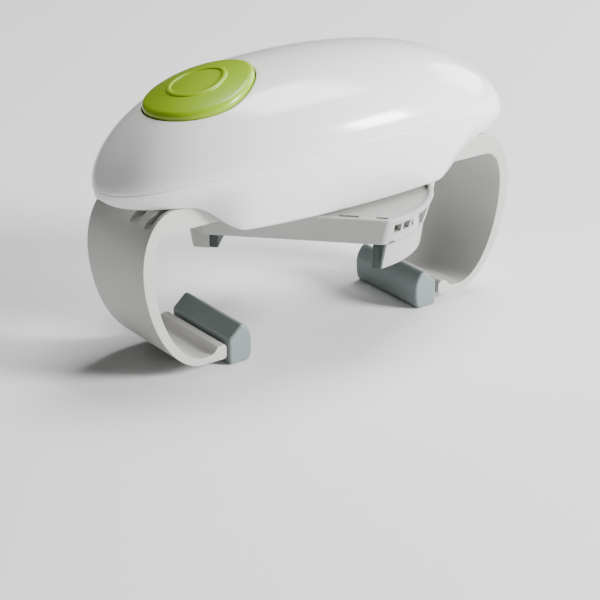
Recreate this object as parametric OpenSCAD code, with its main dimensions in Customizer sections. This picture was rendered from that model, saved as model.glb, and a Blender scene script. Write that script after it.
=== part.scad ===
// Battery powered jar opener. Two hooked outer arms close from the ends of the housing, two
// jaws close inside them, and the carrier that holds the jaws turns under the housing.
// Millimetres. Z is the axis that the carrier turns on, X runs along the housing, and the
// start button is at the -X end. Zero height is the underside of the two rubber pads.

/* [Housing] */
// Length of the housing
housing_length = 186.4; // [180:0.2:192]
// Width of the housing at the seam
housing_width = 84; // [82:0.2:90]
// Height of the seam at mid length
seam_height = 87; // [85.5:0.1:88.5]
// How far the seam falls from mid length to the ends
seam_drop = 13.2; // [12:0.1:14.5]
// Height of the dome above the seam
dome_height = 24.6; // [24:0.1:27]
// How far the dome stays full towards its ends
dome_fullness = 4.3; // [3.8:0.1:5]
// How bluntly the dome's ends round off
dome_roundness = 1.6; // [1.4:0.05:2]
// Wall of both shells
shell_wall = 2.2; // [1.8:0.1:2.4]
// Height of the keel's flat underside
keel_bottom = 56.1; // [55:0.1:57]
// Half length of the keel's flat underside
keel_half_length = 45; // [44:0.5:46]
// Length of the rise from the keel to the tail on each side
keel_rise_length = 21; // [19:0.5:22]
// Underside width as a share of the width at the seam
keel_width_share = 0.71; // [0.68:0.01:0.73]
// Curve of the sides between seam and underside, 1 is straight
side_curve = 1.5; // [1.4:0.05:2]
// Slope of the tail's underside
tail_slope = 0.2; // [0.17:0.01:0.23]
// Depth of the blunt tail below the seam
tail_blunt = 8.5; // [7.8:0.1:9]
// How slowly the tail's depth builds up from its tip
tail_power = 0.22; // [0.2:0.01:0.26]

/* [Start button] */
// Middle of the button along the housing
button_x = -49.5; // [-52:0.5:-48]
// Length of the button from its middle to its rounder end
button_back = 22.6; // [21.4:0.2:23.4]
// Length of the button from its middle to its narrower end
button_front = 23.2; // [22:0.2:24.6]
// Width of the button
button_width = 40; // [38:0.2:41]
// Roundness of the rounder end, 2 is an ellipse
back_power = 1.95; // [1.7:0.05:2]
// Roundness of the narrower end
front_power = 1.75; // [1.6:0.05:1.9]
// How far the button stands proud of the dome
button_proud = 2; // [1.7:0.1:2.3]
// Skin of the button
button_skin = 2; // [1.6:0.1:2.4]
// Gap round the button
button_gap = 0.4; // [0.3:0.05:0.6]
// Travel of the button
button_travel = 1.6; // [1.2:0.1:2]
// Depth of the button's skirt
button_skirt = 6.4; // [6:0.1:6.6]

/* [Battery door] */
// Left edge of the door
door_left = -36; // [-37:0.5:-34]
// Length of the door
door_length = 47; // [44:0.5:49]
// Lower edge of the door above the seam at mid length
door_above_seam = 1.8; // [1.6:0.1:2.4]
// Height of the door
door_height = 13; // [11:0.1:14]
// Corner radius of the door
door_corner = 2.5; // [2:0.1:4]
// Gap round the door
door_gap = 0.25; // [0.2:0.05:0.4]

/* [Outer arms] */
// Width of the arms
arm_width = 40.4; // [38:0.2:40.4]
// Greatest reach of the arms from the turning axis
arm_reach = 87.9; // [87:0.1:90]
// Height at which the arms reach furthest
arm_belly = 46; // [43:0.5:48]
// Thickness of the arms at the side
arm_wall = 4.3; // [3.8:0.1:4.6]
// Thickness of the arms at the bottom
arm_sole = 2.8; // [2.4:0.1:3.2]
// Height of the arms' soles above the pads' feet
sole_lift = 3.6; // [3:0.1:4]
// Height of the arm bars
bar_height = 8.4; // [8:0.1:8.8]
// Where the bars' full width ends inside the keel
bar_inner_end = 50; // [49:0.5:51]
// Running gap between the bars and what guides them
slide_gap = 0.3; // [0.25:0.05:0.4]
// Width of the racks
rack_width = 6; // [5:0.1:6.2]
// Height of the racks
rack_height = 5.4; // [5:0.1:5.8]
// How far the arms open from here
arm_opening = 14; // [10:0.5:14]
// How far the arms close from here
arm_closing = 18; // [14:0.5:18]

/* [Arm pads] */
// Distance of the pads' inner faces from the axis
jar_radius = 40.3; // [40:0.1:41]
// Thickness of the pads, along the housing
pad_thickness = 10.6; // [10:0.1:11]
// Height of the pads
pad_height = 16.3; // [15:0.1:17.5]
// Slot between the pad and the arm's tip
pad_slot = 1.3; // [1:0.1:1.6]
// Depth of the pad's tongue in the arm
tongue_depth = 5; // [4:0.1:6]
// Thickness of the pad's tongue
tongue_thickness = 2; // [1.6:0.1:2.2]

/* [Carrier] */
// Angle that the carrier is turned to, from the long axis
carrier_angle = -46; // [-60:1:-30]
// Radius of the carrier at its top
carrier_radius = 50.4; // [50:0.1:50.8]
// How far the carrier's end walls lean in from top to bottom
carrier_lean = 3.6; // [3.2:0.1:3.8]
// Half width across the carrier's two flats
carrier_half_width = 30.7; // [30:0.1:31.5]
// Height of the carrier
carrier_height = 10; // [9.6:0.1:10.4]
// Gap between the carrier and the keel
carrier_gap = 0.6; // [0.5:0.1:0.9]
// Top plate and side walls of the carrier
carrier_wall = 2; // [1.8:0.1:2.2]
// Radius of the hub that turns in the floor
hub_radius = 11; // [10.5:0.1:12]
// Clearance of turning parts in their bores, on the radius
turning_gap = 0.05; // [0.03:0.01:0.08]

/* [Jaws] */
// Distance of the jaw faces from the axis
jaw_face = 32; // [31.5:0.1:33]
// Height of the jaws below the carrier
jaw_drop = 10; // [9:0.1:11]
// How far each jaw reaches past the axis line
jaw_overlap = 19; // [17:0.1:20]
// How far the jaws' outer faces lean in from top to bottom
jaw_lean = 1.4; // [1.1:0.1:1.7]
// Thickness of the rubber faces
jaw_rubber = 3.4; // [3:0.1:3.6]
// How far the jaws open from here
jaw_opening = 12; // [8:0.5:12]
// How far the jaws close from here
jaw_closing = 14; // [10:0.5:14]

/* [Gears] */
// Tooth module of both rack drives
rack_module = 1; // [1:0.1:1]
// Teeth of the pinion between the two racks of the arms
jar_teeth = 24; // [24:2:24]
// Teeth of the pinion between the two racks of the jaws, odd multiples of two
lid_teeth = 14; // [14:4:14]
// Fine module, motor to second gear
fine_module = 0.5; // [0.48:0.01:0.5]
// Middle module, second to third gear
middle_module = 0.6; // [0.56:0.01:0.6]
// Coarse module, third gear to drive gear
coarse_module = 0.8; // [0.76:0.01:0.8]
// Teeth of the small pinions
pinion_teeth = 10; // [10:1:11]
// Teeth of the first wheel
first_teeth = 40; // [38:1:41]
// Teeth of the second wheel
second_teeth = 44; // [42:1:45]
// Teeth of the third wheel
third_teeth = 44; // [42:1:45]
// Teeth of the drive gear
drive_teeth = 36; // [34:1:36]
// Play between meshing teeth
tooth_play = 0.12; // [0.1:0.01:0.16]
// Radius of the drive spindle
spindle_radius = 4; // [3.6:0.1:4.2]
// Radius of the gear pins
gear_pin_radius = 1; // [0.9:0.05:1.1]

/* [Motor and supply] */
// Distance of the motor from the turning axis
motor_x = 46; // [45:0.5:47]
// Width of the motor can
motor_width = 20; // [19:0.1:20.4]
// Depth of the motor can across its flats
motor_depth = 15; // [14.6:0.1:15.4]
// Length of the motor can
motor_length = 24; // [22:0.5:24]
// Radius of the battery cells
cell_radius = 7.2; // [6.9:0.05:7.2]
// Length of the battery cells
cell_length = 49; // [48:0.5:49.5]
// Thickness of the circuit board
board_thickness = 1.6; // [1.2:0.1:1.6]
// Thickness of the chassis plates
plate_thickness = 1.4; // [1.2:0.1:1.6]
// Radius of the housing screws
screw_radius = 1.4; // [1.2:0.1:1.5]

/* [Hidden] */
$fn = 48;
shell_white = [0.93, 0.92, 0.91];
button_green = [0.57, 0.70, 0.20];
arm_grey = [0.80, 0.79, 0.77];
carrier_grey = [0.70, 0.72, 0.70];
rubber_grey = [0.45, 0.50, 0.49];
jaw_dark = [0.30, 0.35, 0.32];
steel = [0.72, 0.73, 0.75];
brass = [0.80, 0.66, 0.36];
gear_white = [0.88, 0.87, 0.80];

// Levels, from the keel's underside up
floor_thickness = 2.4;
floor_top = keel_bottom + floor_thickness;
bar_bottom = keel_bottom + 3.9;
bar_top = bar_bottom + bar_height;
rack_bottom = bar_bottom + 1;
rack_top = rack_bottom + rack_height;
chassis_bottom = bar_top + 0.6;
chassis_top = chassis_bottom + plate_thickness;
// Levels, from the keel's underside down
carrier_top = keel_bottom - carrier_gap;
carrier_bottom = carrier_top - carrier_height;
jaw_bottom = carrier_bottom - jaw_drop;

// Shape of the housing
half_length = housing_length / 2;
half_width = housing_width / 2;
shell_steps = 44;
arc_steps = 16;
function seam_z(x) = seam_height - seam_drop * pow(x / half_length, 2);
function plan_y(x, grow) =
    (half_width + grow) * sqrt(max(0, 1 - pow(x / (half_length + grow), 2)));
function crown(x, grow) =
    (dome_height + grow)
    * pow(max(0, 1 - pow(abs(x / (half_length + grow)), dome_fullness)), 1 / dome_roundness);
function smooth(s) = let(c = min(1, max(0, s))) c * c * (3 - 2 * c);
function tail_depth(x) =
    tail_slope * (half_length - abs(x))
    + tail_blunt * pow(max(0, 1 - pow(x / half_length, 2)), tail_power);
function keel_depth(x) =
    let(rise = smooth((abs(x) - keel_half_length) / keel_rise_length))
    (1 - rise) * (seam_z(x) - keel_bottom) + rise * tail_depth(x);
// The inner skin lies one wall inside the outer one, but never reaches the seam
function inner_depth(x) = max(keel_depth(x) - shell_wall - 0.2, 0.3 * keel_depth(x));

// One cross section of the dome, from the near seam over the top to the far seam
function dome_arc(x, grow) = [
    for (i = [0:arc_steps])
        let(t = 180 * i / arc_steps)
        [x, -plan_y(x, grow) * cos(t), seam_z(x) + crown(x, grow) * sin(t)]
];
// One cross section of the hull, from the near seam under the keel to the far seam
hull_side = [0, 0.1, 0.22, 0.36, 0.5, 0.64, 0.78, 0.92];
function hull_share(s) = 1 - (1 - keel_width_share) * pow(s, side_curve);
hull_half = concat(
    [for (s = hull_side) [hull_share(s), s]],
    [[keel_width_share - 0.04, 1], [keel_width_share / 2, 1]]);
function hull_arc(x, grow, depth) = [
    for (side = [-1, 1])
        for (i = side < 0 ? [0:len(hull_half) - 1] : [len(hull_half) - 1:-1:0])
            [x, side * plan_y(x, grow) * hull_half[i][0], seam_z(x) - depth * hull_half[i][1]]
];
function station(i, grow) = -(half_length + grow) * cos(180 * i / shell_steps);
inner_stations = [for (i = [1:shell_steps - 1]) i];
function dome_rows(grow) = [for (i = inner_stations) dome_arc(station(i, grow), grow)];
function hull_rows(grow) = [
    for (i = inner_stations)
        let(x = station(i, grow))
        hull_arc(x, grow, grow < 0 ? inner_depth(x) : keel_depth(x))
];
function pole(side, grow) =
    let(x = side * (half_length + grow)) [x, 0, seam_z(x)];
function flatten(rows) = [for (row = rows) for (p = row) p];

// A closed skin between an outer and an inner set of rows with a pole at each end
module skin(outer, inner, outer_grow, inner_grow, flip) {
    n = len(outer[0]);
    m = len(outer);
    ring = 2 * n;
    points = concat(
        [for (i = [0:m - 1]) for (p = outer[i]) p],
        [for (i = [0:m - 1]) for (p = inner[i]) p],
        [pole(-1, outer_grow), pole(1, outer_grow), pole(-1, inner_grow), pole(1, inner_grow)]);
    q = m * n;
    a0 = 2 * q;
    outside = concat(
        [for (i = [0:m - 2], j = [0:n - 2]) [i * n + j, i * n + j + 1, (i + 1) * n + j + 1]],
        [for (i = [0:m - 2], j = [0:n - 2]) [i * n + j, (i + 1) * n + j + 1, (i + 1) * n + j]],
        [for (j = [0:n - 2]) [a0, j + 1, j]],
        [for (j = [0:n - 2]) [a0 + 1, (m - 1) * n + j, (m - 1) * n + j + 1]]);
    inside = concat(
        [for (i = [0:m - 2], j = [0:n - 2])
            [q + i * n + j, q + (i + 1) * n + j + 1, q + i * n + j + 1]],
        [for (i = [0:m - 2], j = [0:n - 2])
            [q + i * n + j, q + (i + 1) * n + j, q + (i + 1) * n + j + 1]],
        [for (j = [0:n - 2]) [a0 + 2, q + j, q + j + 1]],
        [for (j = [0:n - 2]) [a0 + 3, q + (m - 1) * n + j + 1, q + (m - 1) * n + j]]);
    near_rim = concat(
        [for (i = [0:m - 2]) [i * n, (i + 1) * n, q + (i + 1) * n]],
        [for (i = [0:m - 2]) [i * n, q + (i + 1) * n, q + i * n]],
        [[a0, 0, q], [a0, q, a0 + 2]],
        [[a0 + 1, q + (m - 1) * n, (m - 1) * n], [a0 + 1, a0 + 3, q + (m - 1) * n]]);
    far_rim = concat(
        [for (i = [0:m - 2]) let(k = i * n + n - 1) [k, q + k + n, k + n]],
        [for (i = [0:m - 2]) let(k = i * n + n - 1) [k, q + k, q + k + n]],
        [[a0, q + n - 1, n - 1], [a0, a0 + 2, q + n - 1]],
        [[a0 + 1, m * n - 1, q + m * n - 1], [a0 + 1, q + m * n - 1, a0 + 3]]);
    faces = concat(outside, inside, near_rim, far_rim);
    polyhedron(points, flip ? [for (f = faces) [f[2], f[1], f[0]]] : faces);
}

// A closed body inside rows of closed cross sections with a pole at each end
module closed_body(rows, grow, flip) {
    n = len(rows[0]);
    m = len(rows);
    points = concat(flatten(rows), [pole(-1, grow), pole(1, grow)]);
    faces = concat(
        [for (i = [0:m - 2], j = [0:n - 1])
            [i * n + j, i * n + (j + 1) % n, (i + 1) * n + (j + 1) % n]],
        [for (i = [0:m - 2], j = [0:n - 1])
            [i * n + j, (i + 1) * n + (j + 1) % n, (i + 1) * n + j]],
        [for (j = [0:n - 1]) [m * n, (j + 1) % n, j]],
        [for (j = [0:n - 1]) [m * n + 1, (m - 1) * n + j, (m - 1) * n + (j + 1) % n]]);
    polyhedron(points, flip ? [for (f = faces) [f[2], f[1], f[0]]] : faces);
}
module dome_body(grow) {
    closed_body(dome_rows(grow), grow, false);
}
module hull_body(grow) {
    closed_body(hull_rows(grow), grow, true);
}
module dome_skin() {
    skin(dome_rows(0), dome_rows(-shell_wall), 0, -shell_wall, false);
}
module hull_skin() {
    skin(hull_rows(0), hull_rows(-shell_wall), 0, -shell_wall, true);
}

// Curves and teeth
function bezier(a, b, c, d, n) = [
    for (i = [0:n])
        let(t = i / n)
        pow(1 - t, 3) * a + 3 * pow(1 - t, 2) * t * b + 3 * (1 - t) * t * t * c + pow(t, 3) * d
];
function pitch_radius(teeth, tooth_module) = teeth * tooth_module / 2;
pressure_angle = 20;
wheel_addendum = 0.8;
dedendum = 1.25;
function involute(a) = tan(a) * 180 / PI - a;
function tooth_half_angle(r, teeth, tooth_module) =
    let(rp = pitch_radius(teeth, tooth_module), rb = rp * cos(pressure_angle))
    90 / teeth - tooth_play / 2 / rp * 180 / PI + involute(pressure_angle)
    - involute(acos(min(1, rb / max(r, rb))));
// A gear outline with a tooth centred on the angle phase
module gear_outline(teeth, tooth_module, phase) {
    rp = pitch_radius(teeth, tooth_module);
    tip = rp + wheel_addendum * tooth_module;
    root = rp - dedendum * tooth_module;
    radii = [root, max(root, rp * cos(pressure_angle)), rp, tip];
    flank = [for (r = radii) [r, tooth_half_angle(r, teeth, tooth_module)]];
    polygon([
        for (k = [0:teeth - 1])
            for (i = [0:7])
                let(f = flank[i < 4 ? i : 7 - i], a = phase + k * 360 / teeth + (i < 4 ? -1 : 1) * f[1])
                f[0] * [cos(a), sin(a)]
    ]);
}
module gear(teeth, tooth_module, phase, height) {
    linear_extrude(height) gear_outline(teeth, tooth_module, phase);
}
// A rack along X whose teeth point to -Y from the pitch line Y = 0, with a gap at X = 0
module rack_teeth(from, to, tooth_module, height) {
    pitch = PI * tooth_module;
    tip = wheel_addendum * tooth_module;
    root = dedendum * tooth_module;
    half = pitch / 4 - tooth_play / 2;
    for (k = [ceil(from / pitch - 0.5):floor(to / pitch - 0.5)])
        translate([(k + 0.5) * pitch, 0, 0])
            linear_extrude(height)
                polygon([
                    [-half - root * tan(pressure_angle), root],
                    [-half + tip * tan(pressure_angle), -tip],
                    [half - tip * tan(pressure_angle), -tip],
                    [half + root * tan(pressure_angle), root]]);
}
module ring(outer, inner, height) {
    difference() {
        cylinder(r = outer, h = height);
        translate([0, 0, -1]) cylinder(r = inner, h = height + 2);
    }
}

// Gear train, from the motor down to the drive gear. The last mesh is held open.
jar_pitch = pitch_radius(jar_teeth, rack_module);
lid_pitch = pitch_radius(lid_teeth, rack_module);
open_mesh = 2 * coarse_module + 0.4;
first_distance = pitch_radius(pinion_teeth + first_teeth, fine_module);
second_distance = pitch_radius(pinion_teeth + second_teeth, fine_module);
third_distance = pitch_radius(pinion_teeth + third_teeth, middle_module);
drive_distance = pitch_radius(pinion_teeth + drive_teeth, coarse_module) + open_mesh;
first_angle = 198;
second_angle = 215;
first_at = [motor_x, 0] + first_distance * [cos(first_angle), sin(first_angle)];
second_at = first_at + second_distance * [cos(second_angle), sin(second_angle)];
third_spread = acos((pow(drive_distance, 2) + pow(norm(second_at), 2) - pow(third_distance, 2))
    / (2 * drive_distance * norm(second_at)));
third_bearing = atan2(second_at[1], second_at[0]) - third_spread;
third_at = drive_distance * [cos(third_bearing), sin(third_bearing)];
third_angle = atan2(third_at[1] - second_at[1], third_at[0] - second_at[0]);
// Phase of the gear that meets a tooth pointing along angle
function facing(angle, teeth) = angle + 180 + 180 / teeth;
wheel_thickness = 2.4;
first_level = chassis_top + 0.5;
second_level = first_level + wheel_thickness + 0.6;
third_level = second_level + wheel_thickness + 0.6;
drive_level = third_level + wheel_thickness + 0.6;
drive_thickness = 3.6;
cover_level = drive_level + drive_thickness + 0.8;
cover_top = cover_level + plate_thickness;
motor_bottom = second_level + wheel_thickness + 1.1;

// Start button frame: origin on the dome, Z out of it
button_z = seam_z(button_x) + crown(button_x, 0);
button_tilt = atan(seam_z(button_x + 0.5) + crown(button_x + 0.5, 0)
    - seam_z(button_x - 0.5) - crown(button_x - 0.5, 0));
switch_height = 6;
plunger_top = -12.6;
switch_top = plunger_top - button_travel - 0.3;
board_top = switch_top - switch_height;
module button_frame() {
    translate([button_x, 0, button_z]) rotate([0, -button_tilt, 0]) children();
}
function signed_power(v, e) = sign(v) * pow(abs(v), e);
module button_outline(grow) {
    polygon([
        for (i = [0:47])
            let(t = i * 7.5, back = cos(t) < 0, e = 2 / (back ? back_power : front_power))
            [((back ? button_back : button_front) + grow) * signed_power(cos(t), e),
             (button_width / 2 + grow) * signed_power(sin(t), e)]
    ]);
}
module button_prism(grow, from, to) {
    button_frame() translate([0, 0, from]) linear_extrude(to - from) button_outline(grow);
}

// Battery door outline, seen along Y
module door_prism(grow) {
    low = seam_height + door_above_seam;
    translate([0, half_width + 5, 0]) rotate([90, 0, 0])
        linear_extrude(half_width + 4)
            translate([door_left - grow, low - grow]) {
                w = door_length + 2 * grow;
                h = door_height + 2 * grow;
                r = door_corner + grow;
                translate([r, 0]) square([w - 2 * r, h]);
                translate([0, r]) square([w, h - 2 * r]);
                for (x = [r, w - r], y = [r, h - r]) translate([x, y]) circle(r);
            }
}

// Screws that join the shells
screw_x = half_length - 14.2;
screw_y = 11.5;
screw_boss = 3.6;
screw_head_radius = 2.4;
screw_head_height = 2;
screw_seat = seam_z(screw_x) - 3;
screw_end = seam_z(screw_x) + 6;
module at_screws() {
    for (x = [-screw_x, screw_x], y = [-screw_y, screw_y]) translate([x, y, 0]) children();
}

module upper_shell() color(shell_white) {
    difference() {
        union() {
            dome_skin();
            intersection() {
                at_screws() translate([0, 0, seam_z(screw_x)]) cylinder(r = screw_boss, h = 30);
                dome_body(-shell_wall / 2);
            }
        }
        button_prism(button_gap, -14, 10);
        door_prism(door_gap);
        at_screws() cylinder(r = screw_radius, h = screw_end + 0.5);
    }
}

channel_half = arm_width / 2 + slide_gap + 0.2;
ledge_x = 24;
ledge_length = 6;
rail_inner = 12;
rail_width = 4;
bush_wall = 2.2;
module lower_shell() color(shell_white) {
    difference() {
        union() {
            hull_skin();
            intersection() {
                union() {
                    at_screws() translate([0, 0, keel_bottom])
                        cylinder(r = screw_boss, h = seam_z(screw_x) - keel_bottom - 0.05, $fn = 12);
                    for (x = [-ledge_x - ledge_length, ledge_x], y = [-half_width, channel_half + 0.4])
                        translate([x, y, keel_bottom])
                            cube([ledge_length, half_width - channel_half - 0.4,
                                chassis_bottom - keel_bottom]);
                    for (side = [-1, 1], y = [-rail_inner - rail_width, rail_inner])
                        translate([side < 0 ? -keel_half_length + 1 : ledge_x - 2, y, keel_bottom])
                            cube([keel_half_length + 1 - ledge_x, rail_width,
                                bar_bottom - slide_gap - keel_bottom]);
                    translate([0, 0, keel_bottom])
                        cylinder(r = hub_radius + bush_wall + 3, h = floor_thickness);
                }
                hull_body(-shell_wall / 2);
            }
            translate([0, 0, keel_bottom])
                cylinder(r = hub_radius + bush_wall + 3, h = floor_thickness);
        }
        for (side = [-1, 1])
            translate([side < 0 ? -half_length - 1 : keel_half_length - 6, -channel_half,
                bar_bottom - slide_gap - 0.3])
                cube([half_length - keel_half_length + 7, 2 * channel_half,
                    bar_height + 2 * slide_gap + 0.3]);
        translate([0, 0, keel_bottom - 1])
            cylinder(r = hub_radius + turning_gap + bush_wall, h = floor_thickness + 2);
        at_screws() {
            cylinder(r = screw_radius + 0.2, h = seam_height);
            cylinder(r = screw_head_radius + 0.3, h = screw_seat, $fn = 12);
        }
    }
}
module housing_screws() color(steel)
    at_screws() {
        translate([0, 0, screw_seat - screw_head_height])
            cylinder(r = screw_head_radius, h = screw_head_height);
        translate([0, 0, screw_seat - 0.5]) cylinder(r = screw_radius, h = screw_end - screw_seat + 0.5);
    }

module battery_door() color(shell_white)
    intersection() {
        dome_skin();
        door_prism(0);
    }

module start_button() color(button_green) {
    difference() {
        intersection() {
            button_prism(0, -button_skirt, 10);
            dome_body(button_proud);
        }
        intersection() {
            button_prism(-button_skin - 0.2, -button_skirt - 1, 10);
            dome_body(button_proud - button_skin);
        }
    }
    intersection() {
        button_frame() {
            translate([0, 0, plunger_top]) cylinder(r = 3, h = 20 - plunger_top);
            translate([0, 0, spring_top]) ring(9.8, 7.6, 20);
        }
        dome_body(button_proud - button_skin / 2);
    }
}
spring_top = -4;
module button_spring() color(steel)
    button_frame() translate([0, 0, board_top]) ring(9.2, 8, spring_top - board_top);
module switch_plunger() color(rubber_grey)
    button_frame() translate([0, 0, switch_top - 1.5 - button_travel])
        cylinder(r = 1.1, h = plunger_top - switch_top + 1.5 + button_travel);
module micro_switch() color(jaw_dark)
    button_frame() difference() {
        translate([-6.4, -2.9, board_top]) cube([12.8, 5.8, switch_height]);
        translate([0, 0, switch_top - 2 * button_travel - 2])
            cylinder(r = 1.15, h = 10);
    }
board_length = 36;
board_width = 20;
module circuit_board() color([0.25, 0.45, 0.30])
    button_frame() translate([-board_length / 2, -board_width / 2, board_top - board_thickness])
        cube([board_length, board_width, board_thickness]);

chassis_half_length = 0.6 * half_length;
chassis_end_half = 20;
chassis_half_width = 24;
chassis_waist = 34;
pillars = [[-14, -16], [36, -20], [26, 8], [-17, 8]];
pillar_radius = 2;
motor_post_x = motor_x - 1;
module chassis_plate() color([0.62, 0.63, 0.64]) {
    difference() {
        union() {
            translate([0, 0, chassis_bottom])
                linear_extrude(plate_thickness)
                    polygon([
                        for (p = [[-1, -1], [1, -1], [1, 1], [-1, 1]])
                            for (k = p[0] * p[1] > 0 ? [0, 1] : [1, 0])
                                k == 0 ? [p[0] * chassis_half_length, p[1] * chassis_end_half]
                                       : [p[0] * chassis_waist, p[1] * chassis_half_width]]);
            for (p = pillars)
                translate([p[0], p[1], chassis_top - 0.5])
                    cylinder(r = pillar_radius, h = cover_level - chassis_top + 0.5);
            for (side = [-1, 1]) {
                post_y = motor_depth / 2 + 0.2;
                translate([motor_post_x, side < 0 ? -post_y - 2 : post_y, chassis_top - 0.5])
                    cube([6, 2, 20]);
                translate([motor_post_x, side < 0 ? -post_y - 1 : post_y - 2,
                    motor_bottom - 1.5])
                    cube([6, 3, 1.5]);
            }
            intersection() {
                button_frame()
                    for (x = [-14, 14], y = [-7, 7])
                        translate([x, y, board_top - board_thickness - 40]) cylinder(r = 2, h = 40);
                translate([-100, -50, chassis_top - 0.5]) cube([100, 100, 60]);
            }
        }
        translate([0, 0, chassis_bottom - 1]) cylinder(r = 10, h = plate_thickness + 2);
        for (at = [first_at, second_at, third_at])
            translate([at[0], at[1], chassis_bottom - 1])
                cylinder(r = gear_pin_radius, h = plate_thickness + 2);
    }
}
module gearbox_cover() color([0.62, 0.63, 0.64])
    translate([0, 0, cover_level])
        difference() {
            union() {
                linear_extrude(plate_thickness) polygon(pillars);
                for (p = concat(pillars, [third_at]))
                    translate([p[0], p[1], 0]) cylinder(r = 3.4, h = plate_thickness);
            }
            translate([0, 0, -1]) cylinder(r = spindle_radius - 1 + turning_gap, h = 5);
            for (at = [second_at, third_at])
                translate([at[0], at[1], -1]) cylinder(r = gear_pin_radius, h = 5);
        }
module gear_pins() color(steel) {
    translate([first_at[0], first_at[1], chassis_bottom])
        cylinder(r = gear_pin_radius, h = motor_bottom - 0.4 - chassis_bottom);
    for (at = [second_at, third_at])
        translate([at[0], at[1], chassis_bottom])
            cylinder(r = gear_pin_radius, h = cover_top - chassis_bottom);
}
module spindle_bush() color(brass)
    translate([0, 0, keel_bottom])
        ring(hub_radius + turning_gap + bush_wall, hub_radius + turning_gap, floor_thickness + 0.1);

module motor_can() color(steel)
    translate([motor_x, 0, motor_bottom])
        difference() {
            intersection() {
                cylinder(r = motor_width / 2, h = motor_length);
                translate([-motor_width, -motor_depth / 2, 0])
                    cube([2 * motor_width, motor_depth, motor_length]);
            }
            translate([0, 0, -1]) cylinder(r = 1 + turning_gap, h = 8);
        }
module motor_shaft() color(steel)
    translate([motor_x, 0, first_level]) cylinder(r = 1, h = motor_bottom + 6 - first_level);
module motor_pinion() color(brass)
    translate([motor_x, 0, first_level])
        difference() {
            gear(pinion_teeth, fine_module, first_angle, wheel_thickness);
            translate([0, 0, -1]) cylinder(r = 1, h = 10);
        }
// A wheel with a smaller pinion on top, turning on a gear pin
module stepped_gear(at, level, wheel, wheel_module, wheel_phase, small_module, small_phase, top)
    translate([at[0], at[1], level])
        difference() {
            union() {
                gear(wheel, wheel_module, wheel_phase, wheel_thickness);
                gear(pinion_teeth, small_module, small_phase, top - level);
            }
            translate([0, 0, -1]) cylinder(r = gear_pin_radius + turning_gap, h = top - level + 2);
        }
module first_gear() color(gear_white)
    stepped_gear(first_at, first_level, first_teeth, fine_module, facing(first_angle, first_teeth),
        fine_module, second_angle, second_level + wheel_thickness);
module second_gear() color(gear_white)
    stepped_gear(second_at, second_level, second_teeth, fine_module,
        facing(second_angle, second_teeth), middle_module, third_angle,
        third_level + wheel_thickness);
module third_gear() color(gear_white)
    stepped_gear(third_at, third_level, third_teeth, middle_module,
        facing(third_angle, third_teeth), coarse_module, third_bearing + 180,
        drive_level + drive_thickness);

// The drive spindle and what turns with it
clutch_thickness = 1.2;
clutch_level = rack_top + 0.2;
collar_level = chassis_top + 2.6;
lid_pinion_height = 4.6;
cover_plate = 1.5;
lid_pinion_level = carrier_bottom + cover_plate + 1;
module drive_spindle() color(steel) {
    tip = carrier_bottom + 0.4;
    translate([0, 0, tip]) cylinder(r = spindle_radius - 1, h = cover_top - tip);
    translate([0, 0, lid_pinion_level])
        cylinder(r = spindle_radius, h = drive_level + drive_thickness - lid_pinion_level);
    translate([0, 0, collar_level]) cylinder(r = spindle_radius + 3, h = 1.4);
}
module drive_gear() color(gear_white)
    translate([0, 0, drive_level])
        difference() {
            gear(drive_teeth, coarse_module, facing(third_bearing, drive_teeth) + 180, drive_thickness);
            translate([0, 0, -1]) cylinder(r = spindle_radius, h = drive_thickness + 2);
        }
module lid_pinion() color(brass)
    rotate([0, 0, carrier_angle])
        translate([0, 0, lid_pinion_level])
            difference() {
                gear(lid_teeth, rack_module, 90, lid_pinion_height);
                translate([0, 0, -1]) cylinder(r = spindle_radius, h = lid_pinion_height + 2);
            }
module clutch_disc() color(brass)
    translate([0, 0, clutch_level]) ring(9.4, spindle_radius + turning_gap, clutch_thickness);
module clutch_spring() color(steel)
    translate([0, 0, clutch_level + clutch_thickness])
        ring(spindle_radius + 2.6, spindle_radius + 1.4, collar_level - clutch_level - clutch_thickness);
module jar_pinion() color(gear_white)
    translate([0, 0, rack_bottom - 0.7])
        difference() {
            union() {
                cylinder(r = 7, h = 1);
                translate([0, 0, 0.7]) gear(jar_teeth, rack_module, 0, rack_height);
            }
            translate([0, 0, -1]) cylinder(r = spindle_radius + turning_gap, h = rack_height + 3);
        }

// Battery tray beside the gearbox, under the door
tray_wall = 1.2;
cell_gap = 0.3;
cell_left = door_left - 2.3;
lower_cell = [24.5, chassis_top + tray_wall + cell_gap + cell_radius];
upper_cell = [20, lower_cell[1] + 2 * cell_radius + 0.7];
tray_left = cell_left - 1.5 - tray_wall;
tray_length = cell_length + 3.6 + 2 * tray_wall;
module cell_at(at) {
    translate([cell_left, at[0], at[1]]) rotate([0, 90, 0]) children();
}
module battery_tray() color([0.25, 0.26, 0.27]) {
    back = lower_cell[0] - cell_radius - cell_gap - tray_wall;
    upper_back = upper_cell[0] - cell_radius - cell_gap - tray_wall;
    shelf = lower_cell[1] + cell_radius - 0.7;
    translate([tray_left, back, chassis_top]) cube([tray_length, 14, tray_wall]);
    translate([tray_left, back, chassis_top]) cube([tray_length, tray_wall, shelf - chassis_top + 1]);
    translate([tray_left, upper_back, shelf]) cube([tray_length, back - upper_back + tray_wall, 1]);
    translate([tray_left, upper_back, shelf]) cube([tray_length, tray_wall, 10]);
    for (x = [tray_left, tray_left + tray_length - tray_wall])
        translate([x, 0, 0]) {
            for (at = [lower_cell, upper_cell])
                translate([0, at[0], at[1]]) rotate([0, 90, 0])
                    cylinder(r = cell_radius - 0.8, h = tray_wall);
            translate([0, back, chassis_top]) cube([tray_wall, 7, upper_cell[1] - chassis_top]);
            translate([0, upper_back, shelf]) cube([tray_wall, 7, upper_cell[1] - shelf]);
        }
}
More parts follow.
